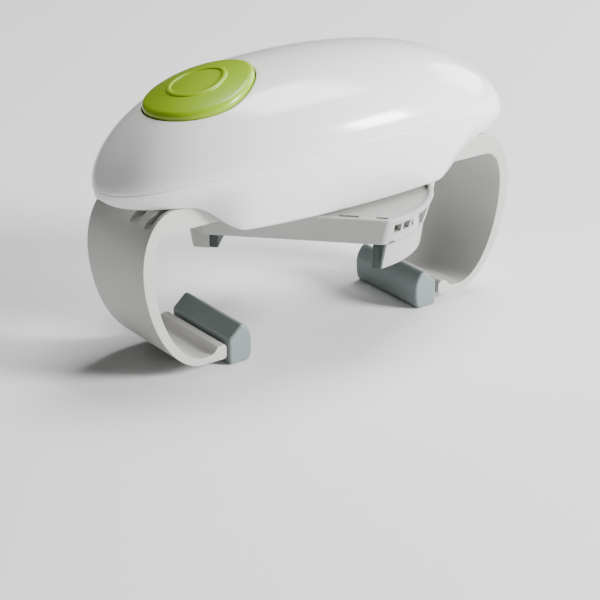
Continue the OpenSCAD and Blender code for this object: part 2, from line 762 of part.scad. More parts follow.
module battery_cell(at) {
    color([0.20, 0.22, 0.24]) cell_at(at) cylinder(r = cell_radius, h = cell_length - 1);
    color(steel) cell_at(at) translate([0, 0, cell_length - 1.5]) cylinder(r = 2.6, h = 1.5);
}
module battery_upper() battery_cell(upper_cell);
module battery_lower() battery_cell(lower_cell);
module battery_contacts() color(steel)
    for (at = [lower_cell, upper_cell]) {
        left_gap = cell_left - tray_left - tray_wall;
        right_gap = tray_length - tray_wall - left_gap - tray_wall - cell_length;
        cell_at(at) translate([0, 0, -left_gap]) cylinder(r = 3.4, h = left_gap - 0.05);
        cell_at(at) translate([0, 0, cell_length + 0.05]) cylinder(r = 3.4, h = right_gap - 0.05);
    }

// One arm, drawn at -X with its rack on the far side. Both arms are this moulding.
tip_radius = jar_radius + pad_thickness + pad_slot;
tip_height = 6;
recess_depth = 5;
rack_side = jar_pitch + rack_width - wheel_addendum * rack_module;
recess_from = rack_side + 0.4;
recess_to = jar_pitch - wheel_addendum * rack_module - 0.6;
// Hollows of the shoulder, measured from the arm's near edge
recess_bands = [[1.8, 5.6], [10, 15.2]];
tongue_half = 15;
function arm_outline() =
    let(r = arm_reach, b = arm_belly, s = sole_lift, i = r - arm_wall)
    concat(
        [[-bar_inner_end, bar_bottom], [-bar_inner_end, bar_top]],
        bezier([-r + 13.9, bar_top], [-r + 5.9, bar_top], [-r, b + 12], [-r, b], 8),
        bezier([-r, b], [-r, b - 21], [-r + 11.9, s - 0.2], [-r + 25.2, s], 14),
        [[-tip_radius - 1.5, s + 0.1], [-tip_radius - 0.4, s + 0.5], [-tip_radius, s + 1.4],
         [-tip_radius, s + tip_height - 1.4], [-tip_radius - 0.4, s + tip_height - 0.4],
         [-tip_radius - 1.4, s + tip_height]],
        [[-tip_radius - 6, s + arm_sole + 0.5]],
        bezier([-r + 25.2, s + arm_sole], [-i + 8.6, s + arm_sole + 0.6], [-i, b - 17], [-i, b], 14),
        bezier([-i, b], [-i, b + 8], [-i + 2.6, bar_bottom], [-i + 8.6, bar_bottom], 8));
module jar_arm() {
    difference() {
        union() {
            translate([0, arm_width / 2, 0]) rotate([90, 0, 0])
                linear_extrude(arm_width) polygon(arm_outline());
            translate([-bar_inner_end - 2, jar_pitch + dedendum * rack_module - 0.1, rack_bottom])
                cube([bar_inner_end + 2 + arm_opening + 4,
                    rack_side - jar_pitch - dedendum * rack_module + 0.1, rack_height]);
            translate([0, jar_pitch, rack_bottom])
                rack_teeth(-arm_closing - 5, arm_opening + 4, rack_module, rack_height);
        }
        // Way for the other arm's rack, and the hollows of the shoulder
        translate([-bar_inner_end - 7, -recess_from, bar_bottom - 1])
            cube([8, recess_from - recess_to, bar_height + 2]);
        for (y = recess_bands)
            translate([0, y[1] - arm_width / 2, 0]) rotate([90, 0, 0])
                linear_extrude(y[1] - y[0])
                    polygon([
                        [-bar_inner_end + 1, bar_top + 1], [-bar_inner_end + 1, bar_top - recess_depth],
                        [-arm_reach + 12, bar_top - recess_depth], [-arm_reach + 7, bar_top - 5.5],
                        [-arm_reach + 3.5, bar_top - 6.7], [-arm_reach - 2, bar_top - 9.4],
                        [-arm_reach - 2, bar_top + 1]]);
        translate([-tip_radius - tongue_depth - 0.2, -tongue_half - 0.1, sole_lift + 1.8])
            cube([tongue_depth + 1, 2 * tongue_half + 0.2, tongue_thickness + 0.1]);
    }
}
module jar_pad() {
    r = jar_radius;
    h = pad_height;
    translate([0, arm_width / 2, 0]) rotate([90, 0, 0])
        linear_extrude(arm_width)
            polygon(concat(
                [[-r - pad_thickness, 2.2], [-r - pad_thickness, h - 5.9]],
                bezier([-r - 5.2, h - 0.4], [-r - 3.2, h + 0.4], [-r - 0.3, h - 3.3], [-r, h - 7.3], 6),
                bezier([-r, h - 9.3], [-r, 1.5], [-r - 1, 0], [-r - 3.2, 0], 5),
                [[-r - pad_thickness + 2.2, 0]]));
    translate([-tip_radius - tongue_depth, -tongue_half, sole_lift + 1.85])
        cube([tongue_depth + pad_slot + 0.5, 2 * tongue_half, tongue_thickness]);
}
module left_jar_arm() color(arm_grey) jar_arm();
module left_jar_pad() color(rubber_grey) jar_pad();
module right_jar_arm() color(arm_grey) rotate([0, 0, 180]) jar_arm();
module right_jar_pad() color(rubber_grey) rotate([0, 0, 180]) jar_pad();

// The carrier, drawn along X and turned to its angle
corner_radius = 3;
end_offset = 8;
// The arcs of the end walls are centred off the axis at the top and on it at the bottom
function arc_offset(lean) = end_offset * (1 - lean / carrier_lean);
function corner_u(lean) =
    arc_offset(lean)
    + sqrt(pow(carrier_radius - lean - arc_offset(lean) - corner_radius, 2)
        - pow(carrier_half_width - corner_radius, 2));
module carrier_outline(grow, lean) {
    offset = arc_offset(lean);
    w = carrier_half_width + grow;
    c = corner_radius + grow;
    u = corner_u(lean);
    square([2 * u, 2 * w], center = true);
    for (side = [-1, 1]) {
        intersection() {
            translate([side * offset, 0]) circle(carrier_radius + grow - lean - offset, $fn = 96);
            polygon([
                for (k = [[0, 0], [2, 2], [2, -2]])
                    [side * (offset + k[0] * (u - offset)), k[1] * (w - c)]]);
        }
        for (v = [-1, 1]) translate([side * u, v * (w - c)]) circle(c);
    }
}
flange_inner = jaw_face + jaw_rubber + 1.4;
flange_half = carrier_half_width - carrier_wall - 0.1;
flange_groove = 0.8;
slide_bottom = carrier_bottom + cover_plate + 0.2;
slide_top = carrier_top - carrier_wall - 0.5;
slide_near = lid_pitch + dedendum * rack_module;
slide_far = slide_near + 7.2;
cover_screw = [17, 22];
window_pitch = 6.1;
corner_angle = atan2(carrier_half_width - corner_radius, corner_u(0));
// The carrier's form between two levels, its end walls leaning in towards the bottom
module carrier_form(grow, from, to) {
    hull()
        for (z = [from, to - 0.01])
            translate([0, 0, z])
                linear_extrude(0.01) carrier_outline(grow, carrier_lean * (1 - z / carrier_height));
}
module lid_carrier() color(carrier_grey)
    rotate([0, 0, carrier_angle]) difference() {
        union() {
            translate([0, 0, carrier_bottom]) carrier_form(0, 0, carrier_height);
            translate([0, 0, carrier_top - 0.5])
                cylinder(r = hub_radius, h = floor_top + 0.4 - carrier_top + 0.5);
        }
        difference() {
            translate([0, 0, carrier_bottom])
                carrier_form(-carrier_wall, -1, carrier_height - carrier_wall);
            for (x = [-1, 1], y = [-1, 1])
                translate([x * cover_screw[0], y * cover_screw[1], carrier_bottom + cover_plate])
                    cylinder(r = 3, h = carrier_height);
        }
        // Room for the jaws' flanges and slides in the two end walls
        for (turn = [0, 180]) rotate([0, 0, turn]) {
            translate([flange_inner - 0.3, -flange_half - 0.1, carrier_bottom - 1])
                cube([30, 2 * flange_half + 0.2, flange_groove + 1]);
            translate([flange_inner, -slide_far - 0.4, carrier_bottom])
                cube([30, slide_far - lid_pitch + 1.4, slide_top + 0.3 - carrier_bottom]);
            for (side = [-1, 1], k = [0:side < 0 ? 2 : 3])
                rotate([0, 0, side * (corner_angle - 4.2 - window_pitch * k)])
                    translate([carrier_radius - 5, -2, carrier_bottom + 4]) cube([10, 4, 3.4]);
            for (y = [-1, 1]) {
                top_window = [21, y * (carrier_half_width - 4), carrier_top];
                corner_window = [corner_u(0) - 2.1, y * (carrier_half_width - 3.9), carrier_top];
                translate(top_window) cube([8, 3.6, 10], center = true);
                translate(corner_window) cube([4.6, 3.3, 10], center = true);
            }
        }
        translate([0, 0, carrier_bottom]) cylinder(r = spindle_radius + turning_gap, h = 30);
        for (x = [-1, 1], y = [-1, 1])
            translate([x * cover_screw[0], y * cover_screw[1], carrier_bottom])
                cylinder(r = 1.1, h = 6);
    }
module carrier_retainer() color(steel)
    translate([0, 0, floor_top + 0.4])
        ring(hub_radius + bush_wall + 1.2, spindle_radius + 1, 1.2);
module carrier_cover() color(carrier_grey)
    rotate([0, 0, carrier_angle]) translate([0, 0, carrier_bottom])
        difference() {
            translate([-21.5, -flange_half, 0]) cube([43, 2 * flange_half, cover_plate]);
            translate([0, 0, -1]) cylinder(r = spindle_radius - 1 + turning_gap, h = 5);
            for (x = [-1, 1], y = [-1, 1])
                translate([x * cover_screw[0], y * cover_screw[1], -1]) {
                    cylinder(r = 1.3, h = 5);
                    cylinder(r = 2.3, h = 1.9);
                }
        }
module carrier_screws() color(steel)
    rotate([0, 0, carrier_angle])
        for (x = [-1, 1], y = [-1, 1])
            translate([x * cover_screw[0], y * cover_screw[1], carrier_bottom]) {
                translate([0, 0, 0.1]) cylinder(r = 2.1, h = 0.8);
                translate([0, 0, 0.5]) cylinder(r = 1.1, h = 5.2);
            }

// One jaw at +X of the carrier, drawn along X
jaw_sweep = 450;
jaw_top = carrier_bottom - 0.3;
jaw_radius = carrier_radius - carrier_lean;
jaw_inset = jaw_face - jaw_sweep;
// One level of a jaw, flush with the carrier's flat at one end
module jaw_level(radius) {
    intersection() {
        circle(radius, $fn = 96);
        translate([jaw_face - 8, -carrier_half_width + 0.3])
            square([carrier_radius, carrier_half_width - 0.3 + jaw_overlap]);
    }
}
module lid_jaw() {
    difference() {
        hull() {
            translate([0, 0, jaw_bottom])
                linear_extrude(0.01) jaw_level(jaw_radius - jaw_lean);
            translate([0, 0, jaw_top - 0.01]) linear_extrude(0.01) jaw_level(jaw_radius);
        }
        translate([jaw_inset, 0, jaw_bottom - 1])
            cylinder(r = jaw_sweep + jaw_rubber, h = 30, $fn = 240);
    }
    // The flange in the carrier's end wall, raised to the slide where that stands on it
    for (raised = [[jaw_overlap - 1, -flange_half + 3, flange_groove - 0.3],
                   [-slide_near, -slide_far, cover_plate + 1]])
        translate([0, 0, jaw_top - 0.5])
            linear_extrude(carrier_bottom + raised[2] + 0.5 - jaw_top)
                intersection() {
                    circle(jaw_radius - 0.4, $fn = 96);
                    translate([flange_inner, raised[1]]) square([20, raised[0] - raised[1]]);
                }
    difference() {
        translate([-arm_stop, -slide_far, slide_bottom])
            cube([arm_stop + 46, slide_far - slide_near + 0.1, slide_top - slide_bottom]);
        translate([30, -100, slide_bottom - 1]) difference() {
            cube([40, 200, 20]);
            translate([-30, 100, 0]) cylinder(r = jaw_radius + 0.4, h = 20);
        }
    }
    translate([0, -lid_pitch, slide_bottom]) rotate([0, 0, 180])
        rack_teeth(-jaw_closing - 5, jaw_opening + 6, rack_module, slide_top - slide_bottom);
}
arm_stop = jaw_opening + 6;
module jaw_rubber_face() {
    translate([jaw_inset, 0, jaw_bottom])
        linear_extrude(jaw_top - jaw_bottom) intersection() {
            difference() {
                circle(jaw_sweep + jaw_rubber, $fn = 240);
                circle(jaw_sweep, $fn = 240);
            }
            translate([jaw_sweep - 10, -carrier_half_width + 0.6])
                square([20, carrier_half_width + jaw_overlap - 0.8]);
        }
}
module lid_jaw_a() color(carrier_grey) rotate([0, 0, carrier_angle]) lid_jaw();
module jaw_rubber_a() color(jaw_dark) rotate([0, 0, carrier_angle]) jaw_rubber_face();
module lid_jaw_b() color(carrier_grey) rotate([0, 0, carrier_angle + 180]) lid_jaw();
module jaw_rubber_b() color(jaw_dark) rotate([0, 0, carrier_angle + 180]) jaw_rubber_face();

upper_shell();
lower_shell();
battery_door();
start_button();
button_spring();
switch_plunger();
micro_switch();
circuit_board();
chassis_plate();
gearbox_cover();
gear_pins();
spindle_bush();
motor_can();
motor_shaft();
motor_pinion();
first_gear();
second_gear();
third_gear();
drive_spindle();
drive_gear();
lid_pinion();
clutch_disc();
clutch_spring();
jar_pinion();
battery_tray();
battery_upper();
battery_lower();
battery_contacts();
left_jar_arm();
left_jar_pad();
right_jar_arm();
right_jar_pad();
lid_carrier();
carrier_retainer();
carrier_cover();
carrier_screws();
lid_jaw_a();
jaw_rubber_a();
lid_jaw_b();
jaw_rubber_b();
housing_screws();
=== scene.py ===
import math

import bmesh
import bpy
from mathutils import Matrix, Vector


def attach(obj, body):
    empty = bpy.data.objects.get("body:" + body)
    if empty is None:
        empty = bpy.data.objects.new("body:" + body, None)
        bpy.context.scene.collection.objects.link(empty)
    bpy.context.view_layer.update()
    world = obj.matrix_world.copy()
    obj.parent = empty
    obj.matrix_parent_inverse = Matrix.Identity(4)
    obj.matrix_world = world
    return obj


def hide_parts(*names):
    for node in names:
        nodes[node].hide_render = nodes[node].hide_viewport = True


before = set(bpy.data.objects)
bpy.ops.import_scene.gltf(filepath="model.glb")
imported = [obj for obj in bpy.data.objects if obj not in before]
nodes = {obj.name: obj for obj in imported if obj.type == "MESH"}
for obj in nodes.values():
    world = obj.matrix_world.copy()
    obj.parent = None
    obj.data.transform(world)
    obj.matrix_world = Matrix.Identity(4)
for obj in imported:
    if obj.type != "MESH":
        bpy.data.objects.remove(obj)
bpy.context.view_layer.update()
mm = 0.001


# Outlines: lists of points in one plane
def circle(radius, steps, centre=(0, 0)):
    turns = [math.tau * i / steps for i in range(steps)]
    return [(centre[0] + radius * math.cos(a), centre[1] + radius * math.sin(a)) for a in turns]


def arcSteps(count):
    return [math.pi / 2 * i / count for i in range(count + 1)]


def bezier(a, b, c, d, steps):
    points = []
    for i in range(steps + 1):
        t = i / steps
        w = ((1 - t) ** 3, 3 * (1 - t) ** 2 * t, 3 * (1 - t) * t * t, t**3)
        points.append(tuple(sum(f * p[k] for f, p in zip(w, (a, b, c, d))) for k in (0, 1)))
    return points


def roundCorner(before, corner, after, steps=8):
    pulls = [tuple((p[k] + 2 * corner[k]) / 3 for k in (0, 1)) for p in (before, after)]
    return bezier(before, *pulls, after, steps)


def resample(points, count, closed=True):
    chain = [*points, points[0]] if closed else points
    lengths = [0.0]
    for a, b in zip(chain, chain[1:]):
        lengths.append(lengths[-1] + math.dist(a, b))
    made, k = [], 0
    for i in range(count):
        want = lengths[-1] * i / (count if closed else count - 1)
        while k < len(chain) - 2 and lengths[k + 1] < want:
            k += 1
        f = (want - lengths[k]) / (lengths[k + 1] - lengths[k])
        made.append(tuple(a + f * (b - a) for a, b in zip(chain[k], chain[k + 1])))
    return made


def scaled(outline, share):
    return [(share * p, share * q) for p, q in outline]


def level(outline, z):
    return [(x, y, z) for x, y in outline]


# Mesh tools
def addObject(name, data):
    obj = bpy.data.objects.new(name, data)
    bpy.context.scene.collection.objects.link(obj)
    return obj


def makeObject(name, points, faces):
    mesh = bpy.data.meshes.new(name)
    mesh.from_pydata([Vector(p) * mm for p in points], [], faces)
    mesh.validate()
    return addObject(name, mesh)


def outward(obj):
    work = bmesh.new()
    work.from_mesh(obj.data)
    bmesh.ops.recalc_face_normals(work, faces=work.faces)
    work.to_mesh(obj.data)
    work.free()
    return obj


def loft(name, loops, wrap=False):
    rows, cols = len(loops), len(loops[0])
    faces = []
    for i in range(rows if wrap else rows - 1):
        this, following = i * cols, (i + 1) % rows * cols
        for j in range(cols):
            k = (j + 1) % cols
            faces.append((this + j, this + k, following + k, following + j))
    if not wrap:
        faces += [tuple(range(cols)), tuple(range((rows - 1) * cols, rows * cols))]
    return outward(makeObject(name, [p for loop in loops for p in loop], faces))


def alongZ(p, q, at):
    return (p, q, at)


def alongY(p, q, at):
    return (p, at, q)


def prism(name, outline, low, high, place=alongZ):
    return loft(name, [[place(p, q, at) for p, q in outline] for at in (low, high)])


def block(name, low, high):
    outline = [(low[0], low[1]), (high[0], low[1]), (high[0], high[1]), (low[0], high[1])]
    return prism(name, outline, low[2], high[2])


def tube(name, outer, inner, steps, low, high, place):
    wide, narrow = circle(outer, steps), circle(inner, steps)
    corners = ((wide, low), (wide, high), (narrow, high), (narrow, low))
    return loft(name, [[place(p, q, at) for p, q in ring] for ring, at in corners], wrap=True)


def gather(name, parts):
    mesh = bpy.data.meshes.new(name)
    work = bmesh.new()
    for part in parts:
        work.from_mesh(part.data)
        bpy.data.objects.remove(part)
    work.to_mesh(mesh)
    work.free()
    return addObject(name, mesh)


def bake(obj):
    bpy.context.view_layer.update()
    mesh = bpy.data.meshes.new_from_object(obj.evaluated_get(bpy.context.evaluated_depsgraph_get()))
    obj.modifiers.clear()
    old = obj.data
    obj.data = mesh
    bpy.data.meshes.remove(old)
    return obj


def combine(obj, other, operation="DIFFERENCE"):
    modifier = obj.modifiers.new("combine", "BOOLEAN")
    modifier.operation = operation
    modifier.solver = "EXACT"
    modifier.object = other
    bake(obj)
    bpy.data.objects.remove(other)
    return obj


def bevel(obj, width, segments, angle=35):
    modifier = obj.modifiers.new("bevel", "BEVEL")
    modifier.width = width * mm
    modifier.segments = segments
    modifier.limit_method = "ANGLE"
    modifier.angle_limit = math.radians(angle)
    modifier.miter_outer = "MITER_ARC"
    return bake(obj)


def smooth(obj, angle, weighted=False):
    obj.data.shade_smooth()
    obj.data.set_sharp_from_angle(angle=math.radians(angle))
    if weighted:
        modifier = obj.modifiers.new("normals", "WEIGHTED_NORMAL")
        modifier.keep_sharp = True
        bake(obj)
    return obj


def turned(obj, angle):
    obj.data.transform(Matrix.Rotation(math.radians(angle), 4, "Z"))
    return obj


def turnedBlock(low, high, angle):
    return turned(block("cut", low, high), angle)


def finishPiece(obj, body, look, slot, *replaced):
    obj.data.materials.clear()
    obj.data.materials.append(look)
    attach(obj, body)
    if replaced:
        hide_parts(*replaced)
    print("piece", obj.name, len(obj.data.polygons))


# Node tools
def socket(tree, kind, name, default=None, low=None, high=None, way="INPUT"):
    made = tree.interface.new_socket(name=name, in_out=way, socket_type="NodeSocket" + kind)
    if default is not None:
        made.default_value = default
    if low is not None:
        made.min_value, made.max_value = low, high


def wire(tree, *links):
    for source, output, target, entry in links:
        tree.links.new(source.outputs[output], target.inputs[entry])


# Geometry Nodes: one small mesh repeated on every vertex of another
repeatSeed = 7
randomMax, randomValue = 3, 1  # sockets of the random value node in its float mode


def repeatTree():
    tree = bpy.data.node_groups.new("repeatPiece", "GeometryNodeTree")
    tree.is_modifier = True
    socket(tree, "Geometry", "Points")
    socket(tree, "Object", "Piece")
    socket(tree, "Material", "Material")
    socket(tree, "Float", "Turn", 0.0)
    socket(tree, "Int", "Seed", repeatSeed)
    socket(tree, "Geometry", "Mesh", way="OUTPUT")
    new = tree.nodes.new
    inputs, outputs = new("NodeGroupInput"), new("NodeGroupOutput")
    piece, spread = new("GeometryNodeObjectInfo"), new("FunctionNodeRandomValue")
    turn, onPoints = new("ShaderNodeCombineXYZ"), new("GeometryNodeInstanceOnPoints")
    realize, painted = new("GeometryNodeRealizeInstances"), new("GeometryNodeSetMaterial")
    wire(
        tree,
        (inputs, "Piece", piece, "Object"),
        (inputs, "Turn", spread, randomMax),
        (inputs, "Seed", spread, "Seed"),
        (spread, randomValue, turn, "Z"),
        (inputs, "Points", onPoints, "Points"),
        (piece, "Geometry", onPoints, "Instance"),
        (turn, "Vector", onPoints, "Rotation"),
        (onPoints, "Instances", realize, "Geometry"),
        (realize, "Geometry", painted, "Geometry"),
        (inputs, "Material", painted, "Material"),
        (painted, "Geometry", outputs, "Mesh"),
    )
    return tree


repeater = repeatTree()


def repeat(name, piece, points, look, turn=0.0):
    obj = makeObject(name, points, [])
    modifier = obj.modifiers.new("repeat", "NODES")
    modifier.node_group = repeater
    values = {"Piece": piece, "Material": look, "Turn": turn, "Seed": repeatSeed}
    for item in repeater.interface.items_tree:
        if item.in_out == "INPUT" and item.name in values:
            modifier[item.identifier] = values[item.name]
    bake(obj)
    bpy.data.objects.remove(piece)
    return obj


# Materials: a moulded grain shared by all of them
grainForm = {"broadScale": 35, "broadDetail": 4, "fineDetail": 3}
finish = {"coatRoughness": 0.08, "bumpDistance": 0.0004}


def grainGroup():
    tree = bpy.data.node_groups.new("mouldedGrain", "ShaderNodeTree")
    socket(tree, "Color", "Base", (0.8, 0.8, 0.8, 1))
    socket(tree, "Float", "Mottle", 0.03, 0, 1)
    socket(tree, "Float", "Roughness", 0.35, 0, 1)
    socket(tree, "Float", "Spread", 0.05, 0, 1)
    socket(tree, "Float", "Scale", 400, 1, 20000)
    socket(tree, "Color", "Color", way="OUTPUT")
    socket(tree, "Float", "Rough", way="OUTPUT")
    socket(tree, "Float", "Height", way="OUTPUT")
    new = tree.nodes.new
    inputs, outputs, place = new("NodeGroupInput"), new("NodeGroupOutput"), new("ShaderNodeTexCoord")
    fine, broad = new("ShaderNodeTexNoise"), new("ShaderNodeTexNoise")
    fine.inputs["Detail"].default_value = grainForm["fineDetail"]
    broad.inputs["Scale"].default_value = grainForm["broadScale"]
    broad.inputs["Detail"].default_value = grainForm["broadDetail"]
    centred, shift, rough = new("ShaderNodeMath"), new("ShaderNodeMath"), new("ShaderNodeMath")
    centred.operation = "SUBTRACT"
    centred.inputs[1].default_value = 0.5
    shift.operation = rough.operation = "MULTIPLY_ADD"
    shift.inputs[2].default_value = 1
    rough.use_clamp = True
    tint = new("ShaderNodeHueSaturation")
    wire(
        tree,
        (place, "Object", fine, "Vector"),
        (place, "Object", broad, "Vector"),
        (inputs, "Scale", fine, "Scale"),
        (broad, "Fac", centred, 0),
        (centred, 0, shift, 0),
        (inputs, "Mottle", shift, 1),
        (shift, 0, tint, "Value"),
        (inputs, "Base", tint, "Color"),
        (centred, 0, rough, 0),
        (inputs, "Spread", rough, 1),
        (inputs, "Roughness", rough, 2),
        (tint, "Color", outputs, "Color"),
        (rough, 0, outputs, "Rough"),
        (fine, "Fac", outputs, "Height"),
    )
    return tree


grain = grainGroup()


def material(name, colour, roughness, scale=900, bump=0.02, mottle=0.04, spread=0.08, metallic=0.0,
             coat=0.0):
    made = bpy.data.materials.new(name)
    made.use_nodes = True
    made.diffuse_color = (*colour, 1)
    tree = made.node_tree
    shader = tree.nodes["Principled BSDF"]
    shader.inputs["Metallic"].default_value = metallic
    shader.inputs["Coat Weight"].default_value = coat
    shader.inputs["Coat Roughness"].default_value = finish["coatRoughness"]
    group = tree.nodes.new("ShaderNodeGroup")
    group.node_tree = grain
    values = {"Base": (*colour, 1), "Roughness": roughness, "Scale": scale, "Mottle": mottle,
              "Spread": spread}
    for label, value in values.items():
        group.inputs[label].default_value = value
    relief = tree.nodes.new("ShaderNodeBump")
    relief.inputs["Strength"].default_value = bump
    relief.inputs["Distance"].default_value = finish["bumpDistance"]
    wire(
        tree,
        (group, "Color", shader, "Base Color"),
        (group, "Rough", shader, "Roughness"),
        (group, "Height", relief, "Height"),
        (relief, "Normal", shader, "Normal"),
    )
    return made


shellWhite = material("shellWhite", (0.9, 0.895, 0.885), 0.2, bump=0.01, mottle=0.01, coat=0.3)
buttonGreen = material("buttonGreen", (0.27, 0.44, 0.008), 0.3, bump=0.03, mottle=0.03)
armGrey = material("armGrey", (0.5, 0.495, 0.475), 0.36, bump=0.05, mottle=0.03)
padRubber = material("padRubber", (0.19, 0.225, 0.225), 0.5, bump=0.12, mottle=0.06)
carrierGrey = material("carrierGrey", (0.40, 0.42, 0.395), 0.42, bump=0.05)
# dark rubber for the jaws' grip faces; also put on the jaws' end skin as painted shade
jawRubber = material("jawRubber", (0.05, 0.065, 0.058), 0.7, bump=0.15)
innerPlastic = material("innerPlastic", (0.4, 0.41, 0.42), 0.5, bump=0.05)
gearPlastic = material("gearPlastic", (0.78, 0.76, 0.66), 0.42, bump=0.03)
darkPlastic = material("darkPlastic", (0.035, 0.038, 0.04), 0.5, bump=0.08)
boardGreen = material("boardGreen", (0.05, 0.16, 0.07), 0.4, scale=300, bump=0.1, mottle=0.2)
cellDark = material("cellDark", (0.05, 0.055, 0.065), 0.3, bump=0.02, coat=0.4)
steel = material("steel", (0.62, 0.63, 0.65), 0.28, bump=0.05, metallic=1.0, spread=0.2)
brass = material("brass", (0.72, 0.54, 0.24), 0.3, bump=0.05, metallic=1.0, spread=0.2)
# a dark grey that paints the shade in the groove between the two shells
seamShadeGrey = material("seamShadeGrey", (0.2, 0.185, 0.165), 0.6)
byNode = {
    "battery_tray": darkPlastic, "battery_contacts": steel, "battery_upper": cellDark,
    "battery_lower": cellDark, "circuit_board": boardGreen, "micro_switch": darkPlastic,
    "switch_plunger": padRubber, "chassis_plate": innerPlastic, "gearbox_cover": innerPlastic,
    "gear_pins": steel, "spindle_bush": brass, "motor_can": steel, "motor_shaft": steel,
    "motor_pinion": brass, "first_gear": gearPlastic, "second_gear": gearPlastic,
    "third_gear": gearPlastic, "drive_gear": gearPlastic, "drive_spindle": steel,
    "lid_pinion": steel, "clutch_disc": brass, "clutch_spring": steel, "jar_pinion": gearPlastic,
    "carrier_retainer": steel, "carrier_screws": steel, "carrier_cover": carrierGrey,
    "housing_screws": steel, "button_spring": steel, "left_jar_arm": armGrey,
    "right_jar_arm": armGrey, "lid_carrier": carrierGrey, "lid_jaw_a": carrierGrey,
    "lid_jaw_b": carrierGrey, "jaw_rubber_a": jawRubber, "jaw_rubber_b": jawRubber,
}
for name, look in byNode.items():
    nodes[name].data.materials.clear()
    nodes[name].data.materials.append(look)
print("materials made")

# Housing form: a dome over an elliptical seam, and a keel under it
housing = {"length": 93.2, "width": 42.0, "seam": 87.0, "drop": 13.2, "dome": 24.6, "full": 4.3,
           "round": 1.6, "wall": 2.2, "keel": 56.1, "keelHalf": 45.0, "rise": 21.0, "share": 0.71,
           "side": 1.5, "slope": 0.2, "blunt": 8.5, "power": 0.22, "edge": 0.35}


def seamZ(x):
    return housing["seam"] - housing["drop"] * (x / housing["length"]) ** 2


def planY(x, grow=0.0):
    return (housing["width"] + grow) * math.sqrt(max(0.0, 1 - (x / (housing["length"] + grow)) ** 2))


def crown(x, grow=0.0):
    share = abs(x / (housing["length"] + grow))
    return (housing["dome"] + grow) * max(0.0, 1 - share ** housing["full"]) ** (1 / housing["round"])


def domeZ(x, y, grow=0.0, base=0.0):
    across = planY(x, grow)
    share = min(1.0, abs(y) / across) if across > 1e-6 else 1.0
    return seamZ(x) + base + max(0.0, crown(x, grow) - base) * math.sqrt(1 - share * share)


def keelDepth(x):
    s = min(1.0, max(0.0, (abs(x) - housing["keelHalf"]) / housing["rise"]))
    rise = s * s * (3 - 2 * s)
    tail = housing["slope"] * (housing["length"] - abs(x))
    tail += housing["blunt"] * max(0.0, 1 - (x / housing["length"]) ** 2) ** housing["power"]
    return (1 - rise) * (seamZ(x) - housing["keel"]) + rise * tail


def seamOutline(grow, count, fineness=2000):
    a, b = housing["length"] + grow, housing["width"] + grow
    return resample([(a * c, b * s) for c, s in circle(1, fineness)], count)


# Start button frame: u along the housing, v across it, w out of the dome
button = {"x": -49.5, "back": 22.6, "front": 23.2, "width": 40.0, "backPower": 1.95,
          "frontPower": 1.75, "proud": 2.0, "gap": 0.4, "skirt": 6.4, "skin": 2.0, "steps": 240,
          "roll": 1.6, "rollArc": 6, "rings": 30, "innerRings": 8}
buttonZ = domeZ(button["x"], 0)
buttonTilt = math.atan(domeZ(button["x"] + 0.5, 0) - domeZ(button["x"] - 0.5, 0))
buttonU = Vector((math.cos(buttonTilt), 0, math.sin(buttonTilt)))
buttonW = Vector((-math.sin(buttonTilt), 0, math.cos(buttonTilt)))


def buttonPoint(u, v, w):
    return Vector((button["x"], v, buttonZ)) + buttonU * u + buttonW * w


def buttonOutline(grow, share=1.0):
    points = []
    for c, s in circle(1, button["steps"]):
        end = "back" if c < 0 else "front"
        power = 2 / button[end + "Power"]
        points.append((
            share * (button[end] + grow) * math.copysign(abs(c) ** power, c),
            share * (button["width"] / 2 + grow) * math.copysign(abs(s) ** power, s),
        ))
    return points


def domeW(u, v, grow, rounds=30):
    w = 0.0
    for _ in range(rounds):
        p = buttonPoint(u, v, w)
        w -= (p.z - domeZ(p.x, p.y, grow)) * math.cos(buttonTilt)
    return w


def ontoDome(outline, grow, lift=0.0):
    return [buttonPoint(u, v, domeW(u, v, grow) + lift) for u, v in outline]


# Upper shell: from the button's opening out to the seam, and back inside
upper = {"steps": 360, "rings": 84, "inner": 30, "rim": 0.7, "rimArc": 5, "edgeArc": 3}


def upperLoops():
    count, edge, inset = upper["steps"], housing["edge"], -housing["wall"]
    low = ontoDome(resample(buttonOutline(button["gap"]), count), inset)
    loops = [low]
    for angle in reversed(arcSteps(upper["rimArc"])):
        hole = buttonOutline(button["gap"] + upper["rim"] * (1 - math.sin(angle)))
        loops.append(ontoDome(resample(hole, count), 0, -upper["rim"] * (1 - math.cos(angle))))
    start, seam = [(p.x, p.y) for p in loops[-1]], seamOutline(0, count)
    for k in range(1, upper["rings"] + 1):
        f = math.sin(math.pi / 2 * k / upper["rings"])
        ring = []
        for (hx, hy), (sx, sy) in zip(start, seam):
            x, y = hx + f * (sx - hx), hy + f * (sy - hy)
            z = seamZ(x) + edge if k == upper["rings"] else domeZ(x, y, 0, edge)
            ring.append(Vector((x, y, z)))
        loops.append(ring)
    for angle in arcSteps(upper["edgeArc"])[1:]:
        ring = seamOutline(-edge * (1 - math.cos(angle)), count)
        loops.append([Vector((x, y, seamZ(x) + edge * (1 - math.sin(angle)))) for x, y in ring])
    inner = seamOutline(inset, count)
    loops.append([Vector((x, y, seamZ(x))) for x, y in inner])
    for k in range(upper["inner"] - 1, 0, -1):
        f = math.sin(math.pi / 2 * k / upper["inner"])
        ring = []
        for p, (sx, sy) in zip(low, inner):
            x, y = p.x + f * (sx - p.x), p.y + f * (sy - p.y)
            ring.append(Vector((x, y, domeZ(x, y, inset))))
        loops.append(ring)
    return loops


door = {"left": -36.0, "length": 47.0, "low": 88.8, "height": 13.0, "corner": 2.5, "gap": 0.25,
        "cut": (8, 50), "edge": 0.5, "edgeArc": 4, "rings": 12, "innerRings": 6, "steps": 160}


